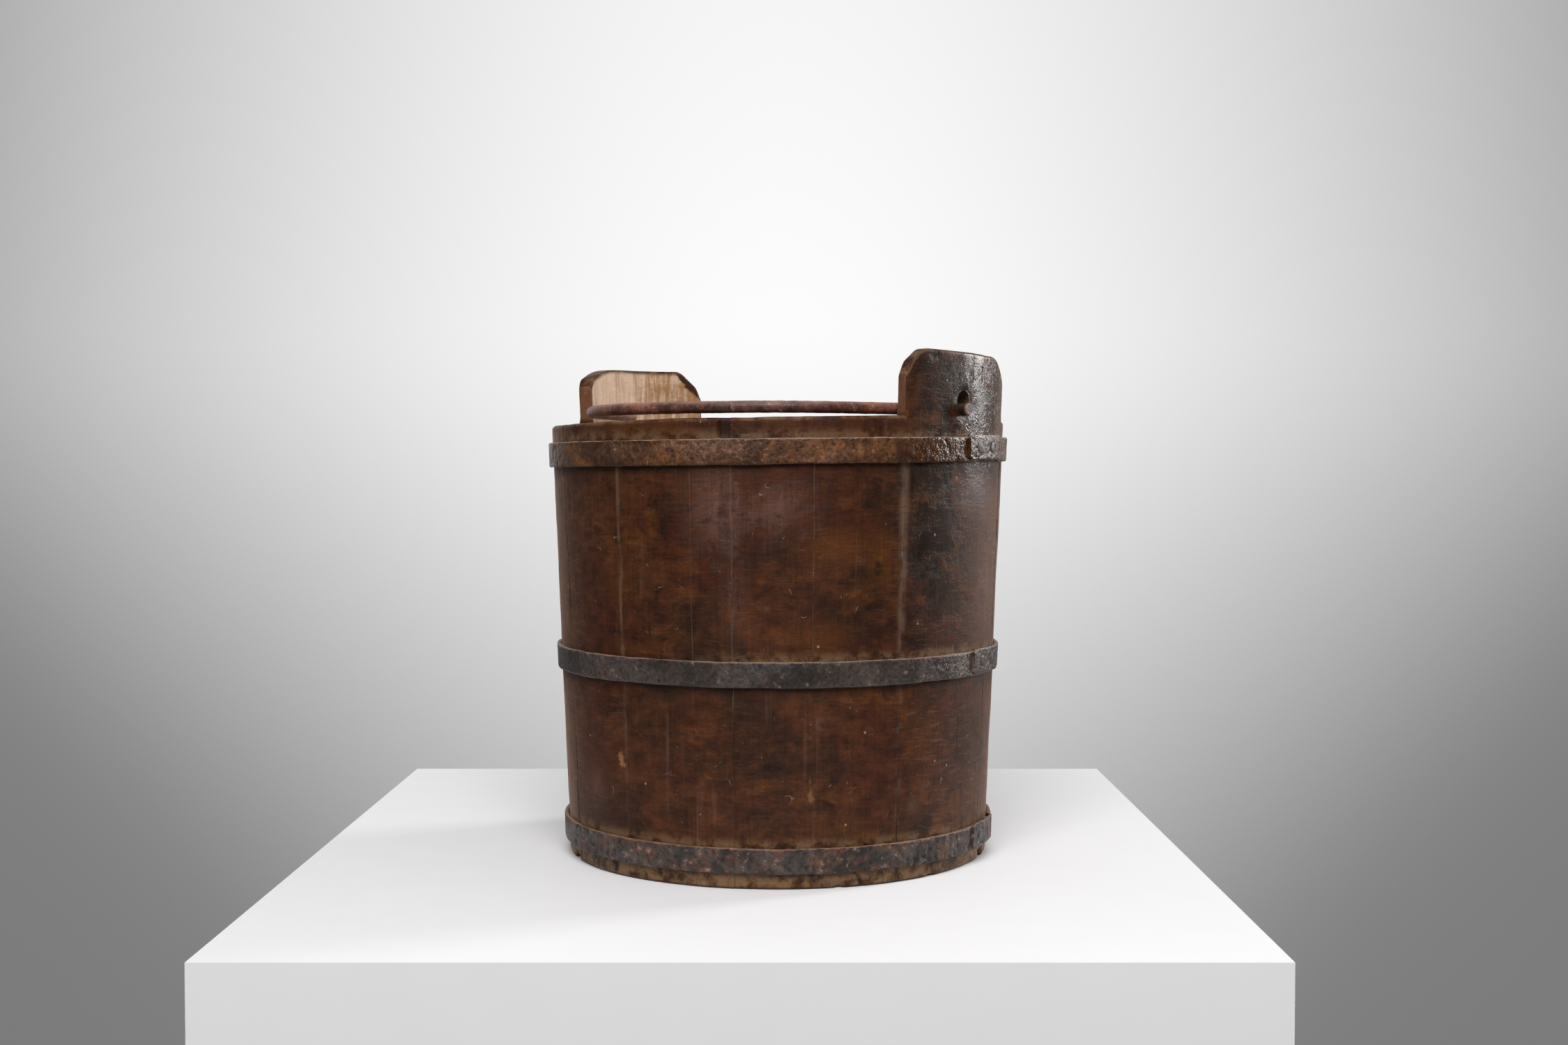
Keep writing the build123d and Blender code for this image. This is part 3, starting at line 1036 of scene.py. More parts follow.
class EarForm:
    """The part of a stave's tree that shapes an ear: its outline, and the bail's hole."""

    hole_names = ("Hole Angle", "Hole Width", "Hole Height")
    clip_names = ("Low Clip Width", "Low Clip Drop", "High Clip Width", "High Clip Drop", "Top Lean")
    low_blend = 0.3
    high_blend = 0.35
    edge_drop = 0.005
    worn_reach = (0.0040, -0.0006)
    hole_sides = 40
    hole_wave = 0.05
    hole_length = 0.06

    def __init__(self, shape: ShapeTree, foot: float) -> None:
        """Adds the ear's inputs.

        Args:
            shape: The stave's tree.
            foot: Height of the bottom of the hole.
        """
        self.shape = shape
        self.angle, self.hole_width, hole_height = shape.sizes(*self.hole_names)
        clips = shape.sizes(*self.clip_names)
        self.low_width, self.low_drop, self.high_width, self.high_drop, self.lean = clips
        self.middle = hole_height / 2 + foot
        self.stretch = (hole_height - self.hole_width) / 2

    @classmethod
    def sizes(cls, ear: Ear) -> dict[str, float]:
        """Names an ear's sizes for the tree's inputs."""
        values = (radians(ear.hole_deg), *ear.hole, *ear.low_clip, *ear.high_clip, ear.lean)
        return dict(zip(cls.hole_names + cls.clip_names, values))

    def outline(self, top: Sock, aside: Sock, low_edge: Sock, high_edge: Sock) -> tuple[Sock, Sock]:
        """Draws the outline of the ear.

        Args:
            top: Height of the ear.
            aside: Place across the ear, from its hole.
            low_edge: Distance from the hole to the edge where the stave starts.
            high_edge: Distance from the hole to its other edge.

        Returns:
            Height of the outline, and of the line that clips its first corner.
        """
        crown = top + (aside + low_edge - self.low_width) * self.lean
        first = top - (self.low_width - low_edge - aside) * self.low_drop / self.low_width
        last = top - (aside - high_edge + self.high_width) * self.high_drop / self.high_width
        line = crown.soft_least(first, self.low_width * self.low_blend)
        line = line.soft_least(last, self.high_width * self.high_blend)
        side = (aside + low_edge).least(high_edge - aside)
        return line - side.fade(self.edge_drop, 0.0) * self.edge_drop, first

    def dish(self, aside: Sock, height: Sock) -> Sock:
        """Is how far the edge of the hole is worn down.

        Args:
            aside: Place across the ear, from the hole.
            height: Height of the point.

        Returns:
            The share of the wear, one at the hole's edge.
        """
        reach_up = (abs(height - self.middle) - self.stretch).most(0.0)
        away = (aside * aside + reach_up * reach_up).root() - self.hole_width / 2
        return away.fade(*self.worn_reach)

    def cut(self, mesh: Sock, radius: float) -> Sock:
        """Cuts the bail's slotted hole.

        Args:
            mesh: The stave.
            radius: Distance of the ear from the bucket's axis.

        Returns:
            The stave with its hole.
        """
        shape = self.shape
        inputs = {"Vertices": self.hole_sides, "Radius": self.hole_width / 2, "Depth": self.hole_length}
        pin = shape.add("GeometryNodeMeshCylinder", inputs, fill_type="NGON")
        x, y, z = shape.split(shape.position())
        worn = shape.uneven(shape.join(x, y, 0.0), 260.0, self.hole_wave, 1.0) + 1.0
        stretch = (y * 1e5).clip(-1.0, 1.0) * self.stretch
        pin = shape.moved(pin, shape.join(x * worn, y * worn.most(1.0) + stretch, z))
        turned = shape.add("GeometryNodeTransform", {0: pin, "Rotation": (pi / 2, 0.0, pi / 2)})
        centre = shape.join(self.angle.cosine() * radius, 0.0, self.middle)
        placed = shape.add("GeometryNodeTransform", {0: turned, "Translation": centre})
        settings = {"operation": "DIFFERENCE", "solver": "EXACT"}
        return shape.add("GeometryNodeMeshBoolean", {0: mesh, 1: placed}, **settings)


@dataclass(frozen=True)
class Stave:
    """One stave: its node, where it starts, how wide it is, its height and its joint at each edge."""

    node: str
    start_deg: float
    width_deg: float
    tops: Pair
    seams: Pair
    gloss: float = 0.0
    notch: float = 0.0
    ear: Ear | None = None


@dataclass
class StaveRing:
    """The staves of the wall, two of them left long as ears."""

    wall: Wall = field(default_factory=Wall)
    finish: VarnishedWood = field(default_factory=VarnishedWood)
    front_shares: tuple[float, ...] = (22.0, 24.0, 24.7, 20.5, 10.0, 19.2, 22.8)
    front_trims: tuple[float, ...] = (0.0050, 0.0052, 0.0044, 0.0024, 0.0016, 0.0024, 0.0)
    front_seams: tuple[float, ...] = (0.4, 0.4, 0.4, 0.85, 0.3, 0.55, 0.35, 1.0)
    back_shares: tuple[float, ...] = (24.0, 20.0, 25.0, 19.0, 25.5, 22.2)
    back_trims: tuple[float, ...] = (0.0020, 0.0012, 0.0026, 0.0016, 0.0030, 0.0022)
    back_seams: tuple[float, ...] = (0.6, 0.5, 0.7, 0.4, 0.8, 0.5, 0.6)
    right_front_deg: float = 18.8
    right_back_deg: float = 26.5
    left_front_deg: float = 18.0
    left_back_deg: float = 26.3
    right_rise: float = 0.0444
    left_rise: float = 0.0414
    right_ear: Ear = Ear(0.0, (0.0136, 0.0170), (0.014, 0.012), (0.026, 0.020), -0.028)
    left_ear: Ear = Ear(180.0, (0.0096, 0.0102), (0.018, 0.016), (0.024, 0.011), -0.012)
    ear_thickness: float = 0.012
    relief_depth: float = 0.014
    relief_length: float = 0.008
    edge_round: float = 0.0026
    foot_thickness: float = 0.0115
    croze: Pair = (0.0165, 0.0235)
    croze_depth: float = 0.005
    croze_step: float = 0.0001
    line_space: float = 0.0022
    arc_height: float = 0.2
    neck: float = 0.288
    ear_rows: int = 46
    plain_rows: int = 12
    side_runs: tuple[tuple[int, float], ...] = ((3, 0.0008), (2, 0.0012), (4, 0.005))
    notched: str = "stave_front_5"
    notch_depth: float = 0.0045
    notch_width: Pair = (0.0082, 0.0068)
    notch_drop: Pair = (0.0140, 0.0125)
    arris_width: Pair = (0.0012, 0.0008)
    arris_depth: Pair = (0.0003, 0.00005)
    ear_arris: Pair = (0.0020, 0.0012)
    gloss_height: Pair = (0.225, 0.288)
    swell: float = 0.0015
    dent: float = 0.0005
    inside_dent: float = 0.0008
    top_wave: float = 0.0009
    foot_chip: float = 0.0045
    chip_height: Pair = (0.0105, 0.004)
    hole_wear: float = 0.0004
    joint_sway: float = 0.006
    seed_step: float = 0.37
    set_back_step: float = 0.00006

    def staves(self) -> list[Stave]:
        """Lists the staves.

        Returns:
            Each stave, going round from the left ear's front edge.
        """
        rim = self.wall.rim_height
        right_start, left_start = 360 - self.right_front_deg, 540 - self.left_back_deg
        found = self.run("stave_front", 180 + self.left_front_deg, right_start,
                         self.front_shares, self.front_trims, self.front_seams)
        found += self.run("stave_back", 360 + self.right_back_deg, left_start,
                          self.back_shares, self.back_trims, self.back_seams)
        right_width = self.right_front_deg + self.right_back_deg
        left_width = self.left_front_deg + self.left_back_deg
        found += [
            Stave("ear_stave_right", right_start, right_width, (rim + self.right_rise,) * 2,
                  (self.front_seams[-1], self.back_seams[0]), gloss=1.0, ear=self.right_ear),
            Stave("ear_stave_left", left_start, left_width, (rim + self.left_rise,) * 2,
                  (self.back_seams[-1], self.front_seams[0]), gloss=0.4, ear=self.left_ear),
        ]
        return found

    def run(
        self,
        label: str,
        start: float,
        end: float,
        shares: Sequence[float],
        trims: Sequence[float],
        seams: Sequence[float],
    ) -> list[Stave]:
        """Lists the staves between two ears, whose tops meet at the joints.

        Args:
            label: Start of the nodes' names.
            start: Angle where the run starts, in degrees.
            end: Angle where it ends.
            shares: Share of the run that each stave takes.
            trims: Length taken off each stave's top.
            seams: How strongly each joint shows, from the first stave's start.

        Returns:
            The staves.
        """
        found = []
        rim = self.wall.rim_height
        for number, share in enumerate(shares):
            width = (end - start) * share / sum(shares)
            before = (end - start) * sum(shares[:number]) / sum(shares)
            low_trim = (trims[max(number - 1, 0)] + trims[number]) / 2
            high_trim = (trims[number] + trims[min(number + 1, len(shares) - 1)]) / 2
            node = f"{label}_{number + 1}"
            notch = self.notch_depth if node == self.notched else 0.0
            tops = (rim - low_trim, rim - high_trim)
            found.append(Stave(node, start + before, width, tops, seams[number:number + 2], notch=notch))
        return found

    def tree(self, ear: bool, material: Material) -> ShapeTree:
        """Writes the tree of a stave.

        Args:
            ear: Whether the stave is left long above the rim.
            material: Its finish.

        Returns:
            The tree.
        """
        shape = ShapeTree("ear_stave_shape" if ear else "stave_shape")
        start, width, low_top, high_top = shape.sizes("Start Angle", "Width Angle", "Low Top", "High Top")
        low_seam, high_seam, seed = shape.sizes("Low Seam", "High Seam", "Seed")
        set_back, gloss, notch = shape.sizes("Set Back", "Gloss", "Notch Depth")
        (columns,) = shape.sizes("Middle Columns", whole=True)
        bore = EarForm(shape, self.wall.rim_height) if ear else None

        # Grid lines stand closer together at the edges, the foot, the croze and the top
        wall, radius, step = self.wall, self.edge_round, self.croze_step
        croze_low, croze_high = self.croze
        reach = wall.outer(self.arc_height)
        arc = width * reach
        sides = list(self.side_runs)
        side_lines = sum(lines for lines, _ in sides)
        side_length = sum(length for _, length in sides)
        depth_runs = [(3, radius), (4, wall.thickness - 2 * radius), (3, radius)]
        foot_runs = [(4, radius), (7, croze_low - radius - step), (1, 2 * step)]
        foot_runs += [(3, croze_high - croze_low - 2 * step), (1, 2 * step)]
        foot_length = sum(length for _, length in foot_runs)
        low_lines = round((self.neck - foot_length) / self.line_space)
        high_lines = self.ear_rows if ear else self.plain_rows
        row_count = sum(lines for lines, _ in foot_runs) + low_lines + high_lines + 4
        mesh, steps = shape.box(10, columns + 2 * side_lines, row_count)

        # Top line of the stave
        across = shape.spaced(steps[1], sides + [(columns, arc - 2 * side_length)] + sides[::-1])
        edge = across.least(arc - across)
        share = across / arc
        angle = start + across / reach
        crest = low_top + (high_top - low_top) * share
        aside = corner = None
        if bore:
            top_reach = wall.outer(wall.rim_height + self.right_rise)
            aside = (angle - bore.angle).sine() * top_reach
            low_edge = (bore.angle - start).sine() * top_reach
            high_edge = (start + width - bore.angle).sine() * top_reach
            crest, corner = bore.outline(crest, aside, low_edge, high_edge)
        crest = crest - shape.noise(shape.join(across, seed, 0.0), 55.0, 2.0) * self.top_wave

        # Place through the wall and up it, with rounded ends
        rows = foot_runs + [(low_lines, self.neck - foot_length)]
        rows += [(high_lines, crest - self.neck - radius), (4, radius)]
        sections = shape.spaced(steps[0], depth_runs), shape.spaced(steps[2], rows)
        depth, height = shape.rounded(*sections, wall.thickness, crest, radius)
        depth_share = depth / wall.thickness
        spot = shape.join(angle.cosine() * reach, angle.sine() * reach, height)
        own_spot = shape.vector("ADD", spot, shape.join(seed, seed * 2.0, seed * 3.0))

        # Outside: swell, dents, worn arrises, chips at the foot and the notch
        swell = (shape.noise(own_spot, 15.0, 2.0) - 0.44) * self.swell
        dents = shape.uneven(own_spot, 70.0, self.dent)
        ragged = shape.noise(own_spot, 120.0, 2.0)
        arris_width = ragged * self.arris_width[0] + self.arris_width[1]
        arris_depth = ragged * self.arris_depth[0] + self.arris_depth[1]
        if bore:
            above = height.fade(wall.rim_height - 0.004, wall.rim_height + 0.004)
            arris_width = arris_width + above * self.ear_arris[0]
            arris_depth = arris_depth + above * self.ear_arris[1]
        arris = (1.0 - (edge / arris_width).clip(0.0, 1.0)) ** 2.0 * arris_depth
        chips = shape.noise(spot, 40.0, 3.0).fade(0.56, 0.66) * height.fade(*self.chip_height)
        chips = chips * self.foot_chip
        hollow = (arc - across).fade(*self.notch_width) * (crest - height).fade(*self.notch_drop)
        outside = wall.outer(height) + swell + dents - arris - chips - hollow * notch - set_back

        # Inside: thinner foot, croze for the bottom boards, and the thinned ear
        foot_taper = (height / croze_low).clip(0.0, 1.0) * (wall.thickness - self.foot_thickness)
        in_croze = height.fade(croze_low - step, croze_low + step)
        in_croze = in_croze * height.fade(croze_high + step, croze_high - step)
        thick = foot_taper + self.foot_thickness - in_croze * self.croze_depth
        inside = wall.outer(height) + shape.uneven(own_spot, 50.0, self.inside_dent) * height.fade(0.03, 0.05)
        if bore:
            relief_from = wall.rim_height - self.relief_depth
            relief = height.fade(relief_from, relief_from + self.relief_length)
            thick = thick - relief * (wall.thickness - self.ear_thickness)
            worn = bore.dish(aside, height) * self.hole_wear
            outside = outside - worn
            inside = inside + worn * 0.6 + arris * above
        inside = inside - thick
        distance = inside + (outside - inside) * depth_share
        # Joints wander together below the rim, so that neighbours still meet
        sway = shape.uneven(spot, 9.0, self.joint_sway, 1.0)
        turned = angle + sway * height.fade(wall.rim_height, wall.rim_height - 0.03)

        # Places and distances that the finish reads
        far_off = across * 0.0 + 1.0
        under = (1.0 - depth_share) * wall.thickness
        places = {
            "place": shape.join(across + seed * 1.7, under, height),
            "skin": shape.join(angle * reach, under, height),
        }
        numbers = {
            "edge": edge,
            "rim": crest - height,
            "seam": low_seam + (high_seam - low_seam) * share.fade(0.45, 0.55),
            "gloss": gloss * height.fade(*self.gloss_height),
            "hollow": hollow * notch / self.notch_depth,
            "corner": corner - height if bore else far_off,
            "aside": aside if bore else far_off,
        }
        mesh = shape.keep(shape.keep(mesh, "FLOAT_VECTOR", places), "FLOAT", numbers)
        mesh = shape.around(mesh, turned, distance, height)
        if bore:
            mesh = bore.cut(mesh, wall.outer(wall.rim_height) - self.ear_thickness / 2)
        return shape.close(mesh, material)

    def build(self) -> None:
        """Makes every stave and puts it in place of its node."""
        material = self.finish.material()
        plain = self.tree(False, material)
        eared = self.tree(True, material)
        sides = 2 * sum(length for _, length in self.side_runs)
        for number, stave in enumerate(self.staves()):
            arc = radians(stave.width_deg) * self.wall.outer(self.arc_height)
            sizes = {
                "Start Angle": radians(stave.start_deg),
                "Width Angle": radians(stave.width_deg),
                "Low Top": stave.tops[0],
                "High Top": stave.tops[1],
                "Low Seam": stave.seams[0],
                "High Seam": stave.seams[1],
                "Middle Columns": round((arc - sides) / self.line_space),
                "Seed": self.seed_step * (number + 1),
                "Set Back": self.set_back_step * (number * 7 % 4),
                "Gloss": stave.gloss,
                "Notch Depth": stave.notch,
            }
            if stave.ear:
                sizes.update(EarForm.sizes(stave.ear))
            piece = (eared if stave.ear else plain).piece(f"varnished_{stave.node}", sizes)
            fit(piece, Body.BUCKET, Slot.VARNISHED, stave.node)


@dataclass(frozen=True)
class Strap:
    """One hoop: its node, lower edge, angle of its cut end, tilt, finish and depth of its pits."""

    node: str
    low: float
    lap_deg: float
    tilt: float
    iron: Iron
    pitting: float = 0.00045


@dataclass
class Hoops:
    """Three iron straps, each bent round the wall and lapped over its own start, and their rivets."""

    wall: Wall = field(default_factory=Wall)
    straps: tuple[Strap, ...] = (
        Strap("hoop_top", 0.2780, 1.0, 0.0020, VARNISHED_IRON),
        Strap("hoop_middle", 0.1330, 6.5, 0.0, BLACK_IRON),
        Strap("hoop_bottom", 0.0105, 10.0, 0.0, PITTED_IRON, pitting=0.0009),
    )
    width: float = 0.017
    thickness: float = 0.0033
    lap_thickness: float = 0.0020
    edge_round: float = 0.0012
    lap_length: float = 0.044
    lap_ramp: float = 0.014
    lap_lift: float = 0.0012
    fit_gap: float = 0.00005
    tilt_deg: float = 39.8
    line_space: float = 0.0011
    low_wave: float = 0.0022
    high_wave: float = 0.0016
    hammer: float = 0.0007
    cut_length: float = 0.004
    cut_slant: float = -0.0035
    end_gap: float = 0.002
    seed_step: float = 1.9
    rivet_pitch: float = 0.020
    rivet_radius: float = 0.0038
    rivet_height: float = 0.0006
    rivet_root: float = 0.002
    rivet_lumps: float = 0.25
    full_turn: float = 6.283

    def tree(self, name: str, material: Material) -> ShapeTree:
        """Writes the tree of a strap.

        Args:
            name: Name of the tree.
            material: The strap's finish.

        Returns:
            The tree.
        """
        shape = ShapeTree(name)
        low, lap, tilt, seed = shape.sizes("Lower Edge", "Lap Angle", "Tilt", "Seed")
        pitting, length = shape.sizes("Pit Depth", "Strap Length")
        (lines,) = shape.sizes("Lines Along", whole=True)
        radius = self.edge_round
        mesh, steps = shape.box(7, lines, 18)
        along = steps[1] / lines * length
        depth, rise = shape.rounded(
            shape.spaced(steps[0], [(3, radius), (1, self.thickness - 2 * radius), (3, radius)]),
            shape.spaced(steps[2], [(3, radius), (12, self.width - 2 * radius), (3, radius)]),
            self.thickness,
            self.width,
            radius,
        )
        ring = self.wall.outer(low + self.width / 2) + self.thickness
        angle = lap + along / ring
        layer = along.fade(self.lap_length + self.lap_ramp, self.lap_length)
        rise_share = rise / self.width
        # Uneven edges, the slanting cut of the outer end, and the tilt of the whole hoop
        low_wave = shape.uneven(shape.join(along, seed, 0.0), 28.0, self.low_wave, 3.0, 0.6)
        high_wave = shape.uneven(shape.join(along, seed, 5.0), 34.0, self.high_wave, 3.0, 0.6)
        cut = along.fade(self.cut_length, 0.0) * (rise_share - 0.5) * self.cut_slant
        lift = low_wave * (1.0 - rise_share) + high_wave * rise_share + cut + layer * self.lap_lift
        slant = (angle - radians(self.tilt_deg)).cosine() * tilt
        height = low + rise + lift + slant
        # Hammer marks and pits on the outside, and the lap lying on the strap's own start
        skin = shape.join(along, depth * 3.0, rise + seed)
        hammer = shape.uneven(skin, 60.0, self.hammer)
        pits = shape.noise(skin, 240.0, 3.0, 0.6).fade(0.50, 0.30) * pitting
        base = self.wall.outer(height) + self.fit_gap + layer * self.thickness
        thin = 1.0 - layer * (1.0 - self.lap_thickness / self.thickness)
        distance = base + depth * thin + (hammer - pits) * (depth / self.thickness)
        return shape.close(shape.around(mesh, angle, distance, height), material)

    def rivet_tree(self, material: Material) -> ShapeTree:
        """Writes the tree that sets a hammered head on every point.

        Args:
            material: The rivets' finish.

        Returns:
            The tree.
        """
        shape = ShapeTree("rivet_heads")
        radius, height = shape.sizes("Head Radius", "Head Height")
        ball = shape.add("GeometryNodeMeshUVSphere", {"Segments": 28, "Rings": 18, "Radius": 1.0})
        spot = shape.position()
        x, y, z = shape.split(spot)
        flat = z.most(0.0) ** 0.7 * height + z.least(0.0) * self.rivet_root
        lumps = shape.uneven(spot, 2.2, self.rivet_lumps) + 1.0
        head = shape.moved(ball, shape.join(x * radius * lumps, y * radius * lumps, flat * lumps))
        named = {"Name": "outward"}
        outward = shape.add("GeometryNodeInputNamedAttribute", named, data_type="FLOAT_VECTOR")
        turn = shape.add("FunctionNodeAlignRotationToVector", {"Vector": outward}, axis="Z")
        range_of_turn = {2: 0.0, 3: self.full_turn, "Seed": 11}
        spin = shape.add("FunctionNodeRandomValue", range_of_turn, 1, data_type="FLOAT")
        turns = {0: turn, 1: shape.join(0.0, 0.0, spin)}
        spun = shape.add("FunctionNodeRotateRotation", turns, rotation_space="LOCAL")
        inputs = {"Points": shape.given(), "Instance": head, "Rotation": spun}
        return shape.close(shape.add("GeometryNodeInstanceOnPoints", inputs), material)

    def rivet_points(self) -> bpy.types.Mesh:
        """Marks where the rivets stand.

        Returns:
            A mesh of loose points, each with the way out of the wall.
        """
        places, ways = [], []
        for strap in self.straps:
            middle = strap.low + self.width / 2
            face = self.wall.outer(middle) + self.fit_gap + self.thickness + self.lap_thickness
            for step in (-self.rivet_pitch / 2, self.rivet_pitch / 2):
                angle = radians(strap.lap_deg) + (self.lap_length / 2 + step) / face
                lift = strap.tilt * cos(angle - radians(self.tilt_deg)) + self.lap_lift
                places.append((face * cos(angle), face * sin(angle), middle + lift))
                ways.append((cos(angle), sin(angle), -self.wall.slope))
        mesh = bpy.data.meshes.new("rivet_points")
        mesh.from_pydata(places, [], [])
        outward = mesh.attributes.new("outward", "FLOAT_VECTOR", "POINT")
        outward.data.foreach_set("vector", [part for way in ways for part in way])
        return mesh

    def build(self) -> None:
        """Makes the straps and their rivets and puts them in place of their nodes."""
        for number, strap in enumerate(self.straps):
            tree = self.tree(strap.node + "_shape", strap.iron.material())
            ring = self.wall.outer(strap.low + self.width / 2) + self.thickness
            length = 2 * pi * ring + self.lap_length - self.end_gap
            sizes = {
                "Lower Edge": strap.low,
                "Lap Angle": radians(strap.lap_deg),
                "Tilt": strap.tilt,
                "Seed": self.seed_step * (number + 1),
                "Pit Depth": strap.pitting,
                "Strap Length": length,
                "Lines Along": round(length / self.line_space),
            }
            fit(tree.piece("strap_" + strap.node, sizes), Body.BUCKET, Slot.HOOP, strap.node)
        rivets = self.rivet_tree(RIVET_IRON.material())
        sizes = {"Head Radius": self.rivet_radius, "Head Height": self.rivet_height}
        fit(rivets.piece("rivet_heads", sizes, self.rivet_points()), Body.BUCKET, Slot.HOOP, "hoop_rivets")


@dataclass
class Bail:
    """The iron rod that swings in the ears."""

    wall: Wall = field(default_factory=Wall)
    iron: Iron = ROD_IRON
    radius: float = 0.004
    height: float = 0.3149
    pin_proud: float = 0.005
    ear_thickness: float = 0.012
    swing_gap: float = 0.0006
    reach: float = 0.148
    right_lean_deg: float = 14.5
    left_lean_deg: float = 27.0
    crown_offset: float = 0.025
    crown_flat: float = 0.010
    bend_radius: float = 0.007
    line_space: float = 0.0012
    rise: float = 0.0009
    sink: float = 0.0003
    swing: float = 0.0028
    pitting: float = 0.0007
    free_from: Pair = (0.006, 0.05)
    pitted_from: Pair = (0.004, 0.02)
    peened_length: Pair = (0.0042, 0.0018)
    peened_growth: float = 0.13
    tip_length: Pair = (-0.0006, 0.0009)
    tip_taper: float = 0.25
    bend_lines: int = 40
    ring_lines: int = 22

    def bow(self, run: float, lean_deg: float) -> float:
        """Is the radius that rounds a shoulder."""
        return run * tan(radians((90 + lean_deg) / 2))

    def line(self) -> bpy.types.Curve:
        """Draws the rod's line with the radius of each bend.

        Returns:
            A curve of straight runs, whose points carry the radius of their bend.
        """
        end = self.wall.outer(self.height) + self.pin_proud
        leg = self.wall.outer(self.height) - self.ear_thickness - self.radius - self.swing_gap
        right = leg - self.reach * tan(radians(self.right_lean_deg))
        left = -leg + self.reach * tan(radians(self.left_lean_deg))
        right_bow = self.bow(right - self.crown_offset - self.crown_flat / 2, self.right_lean_deg)
        left_bow = self.bow(self.crown_offset - self.crown_flat / 2 - left, self.left_lean_deg)
        corners = [
            (end, 0.0, 0.0),
            (leg, 0.0, self.bend_radius),
            (right, -self.reach, right_bow),
            (left, -self.reach, left_bow),
            (-leg, 0.0, self.bend_radius),
            (-end, 0.0, 0.0),
        ]
        curve = bpy.data.curves.new("bail_line", "CURVE")
        curve.dimensions = "3D"
        spline = curve.splines.new("POLY")
        spline.points.add(len(corners) - 1)
        for point, (x, y, bend) in zip(spline.points, corners):
            point.co = (x, y, self.height, 1.0)
            point.radius = bend
        return curve

    def tree(self, material: Material) -> ShapeTree:
        """Writes the tree of the rod.

        Args:
            material: The rod's finish.

        Returns:
            The tree.
        """
        shape = ShapeTree("bail_shape")
        (radius,) = shape.sizes("Rod Radius")
        bend = shape.add("GeometryNodeInputRadius")
        inputs = {"Curve": shape.given(), "Count": self.bend_lines, "Radius": bend, "Limit Radius": True}
        line = shape.add("GeometryNodeFilletCurve", inputs, mode="POLY")
        inputs = {"Curve": line, "Length": self.line_space}
        line = shape.add("GeometryNodeResampleCurve", inputs, mode="LENGTH")
        line = shape.add("GeometryNodeSetCurveRadius", {"Curve": line, "Radius": 1.0})
        # The rod is a little uneven away from its pins
        x, y, z = shape.split(shape.position())
        free = (-y).fade(*self.free_from)
        rise = shape.noise(shape.join(x, 0.0, 0.0), 16.0, 2.0) * self.rise - self.sink
        swing = shape.uneven(shape.join(x, 3.0, 0.0), 22.0, self.swing)
        line = shape.moved(line, shape.join(x, y + swing * free, z + rise * free))
        # Its ends are hammered out, and rounded at the tip
        run = shape.add("GeometryNodeSplineParameter", None, "Length")
        from_end = run.least(shape.add("GeometryNodeSplineLength") - run)
        peened = from_end.fade(*self.peened_length) * self.peened_growth + 1.0
        taper = from_end.fade(*self.tip_length) * self.tip_taper + (1.0 - self.tip_taper)
        inputs = {"Resolution": self.ring_lines, "Radius": radius}
        ring = shape.add("GeometryNodeCurvePrimitiveCircle", inputs, mode="RADIUS")
        inputs = {"Curve": line, "Profile Curve": ring, "Scale": taper * peened, "Fill Caps": True}
        rod = shape.add("GeometryNodeCurveToMesh", inputs)
        spot = shape.position()
        away = (-shape.split(spot)[1]).fade(*self.pitted_from)
        pits = (shape.noise(spot, 150.0, 3.0, 0.6) - 0.55) * self.pitting * away
        inputs = {0: shape.add("GeometryNodeInputNormal"), "Scale": pits}
        offset = shape.add("ShaderNodeVectorMath", inputs, operation="SCALE")
        rod = shape.add("GeometryNodeSetPosition", {"Geometry": rod, "Offset": offset})
        return shape.close(rod, material)

    def build(self) -> None:
        """Makes the rod and puts it in place of its node."""
        tree = self.tree(self.iron.material())
        piece = tree.piece("forged_bail", {"Rod Radius": self.radius}, self.line())
        fit(piece, Body.BAIL, Slot.BAIL, "bail")


@dataclass
class Bottom:
    """The bottom boards and their dowels, whose solids are shown as they are."""

    finish: BoardWood = field(default_factory=BoardWood)
    nodes: tuple[str, ...] = (
        "bottom_board_front",
        "bottom_board_middle",
        "bottom_board_back",
        "bottom_dowels",
    )

    def build(self) -> None:
        """Dresses the solids."""
        material = self.finish.material()
        for name in self.nodes:
            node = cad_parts[name]
            node.data.materials.clear()
            node.data.materials.append(material)
            log.info("%s: dressed", name)


@dataclass(frozen=True)
class Lamp:
    """A soft white lamp: where it stands, its size and its power."""

    name: str
    turn_deg: float
    distance: float
    height: float
    size: Pair
    power: float


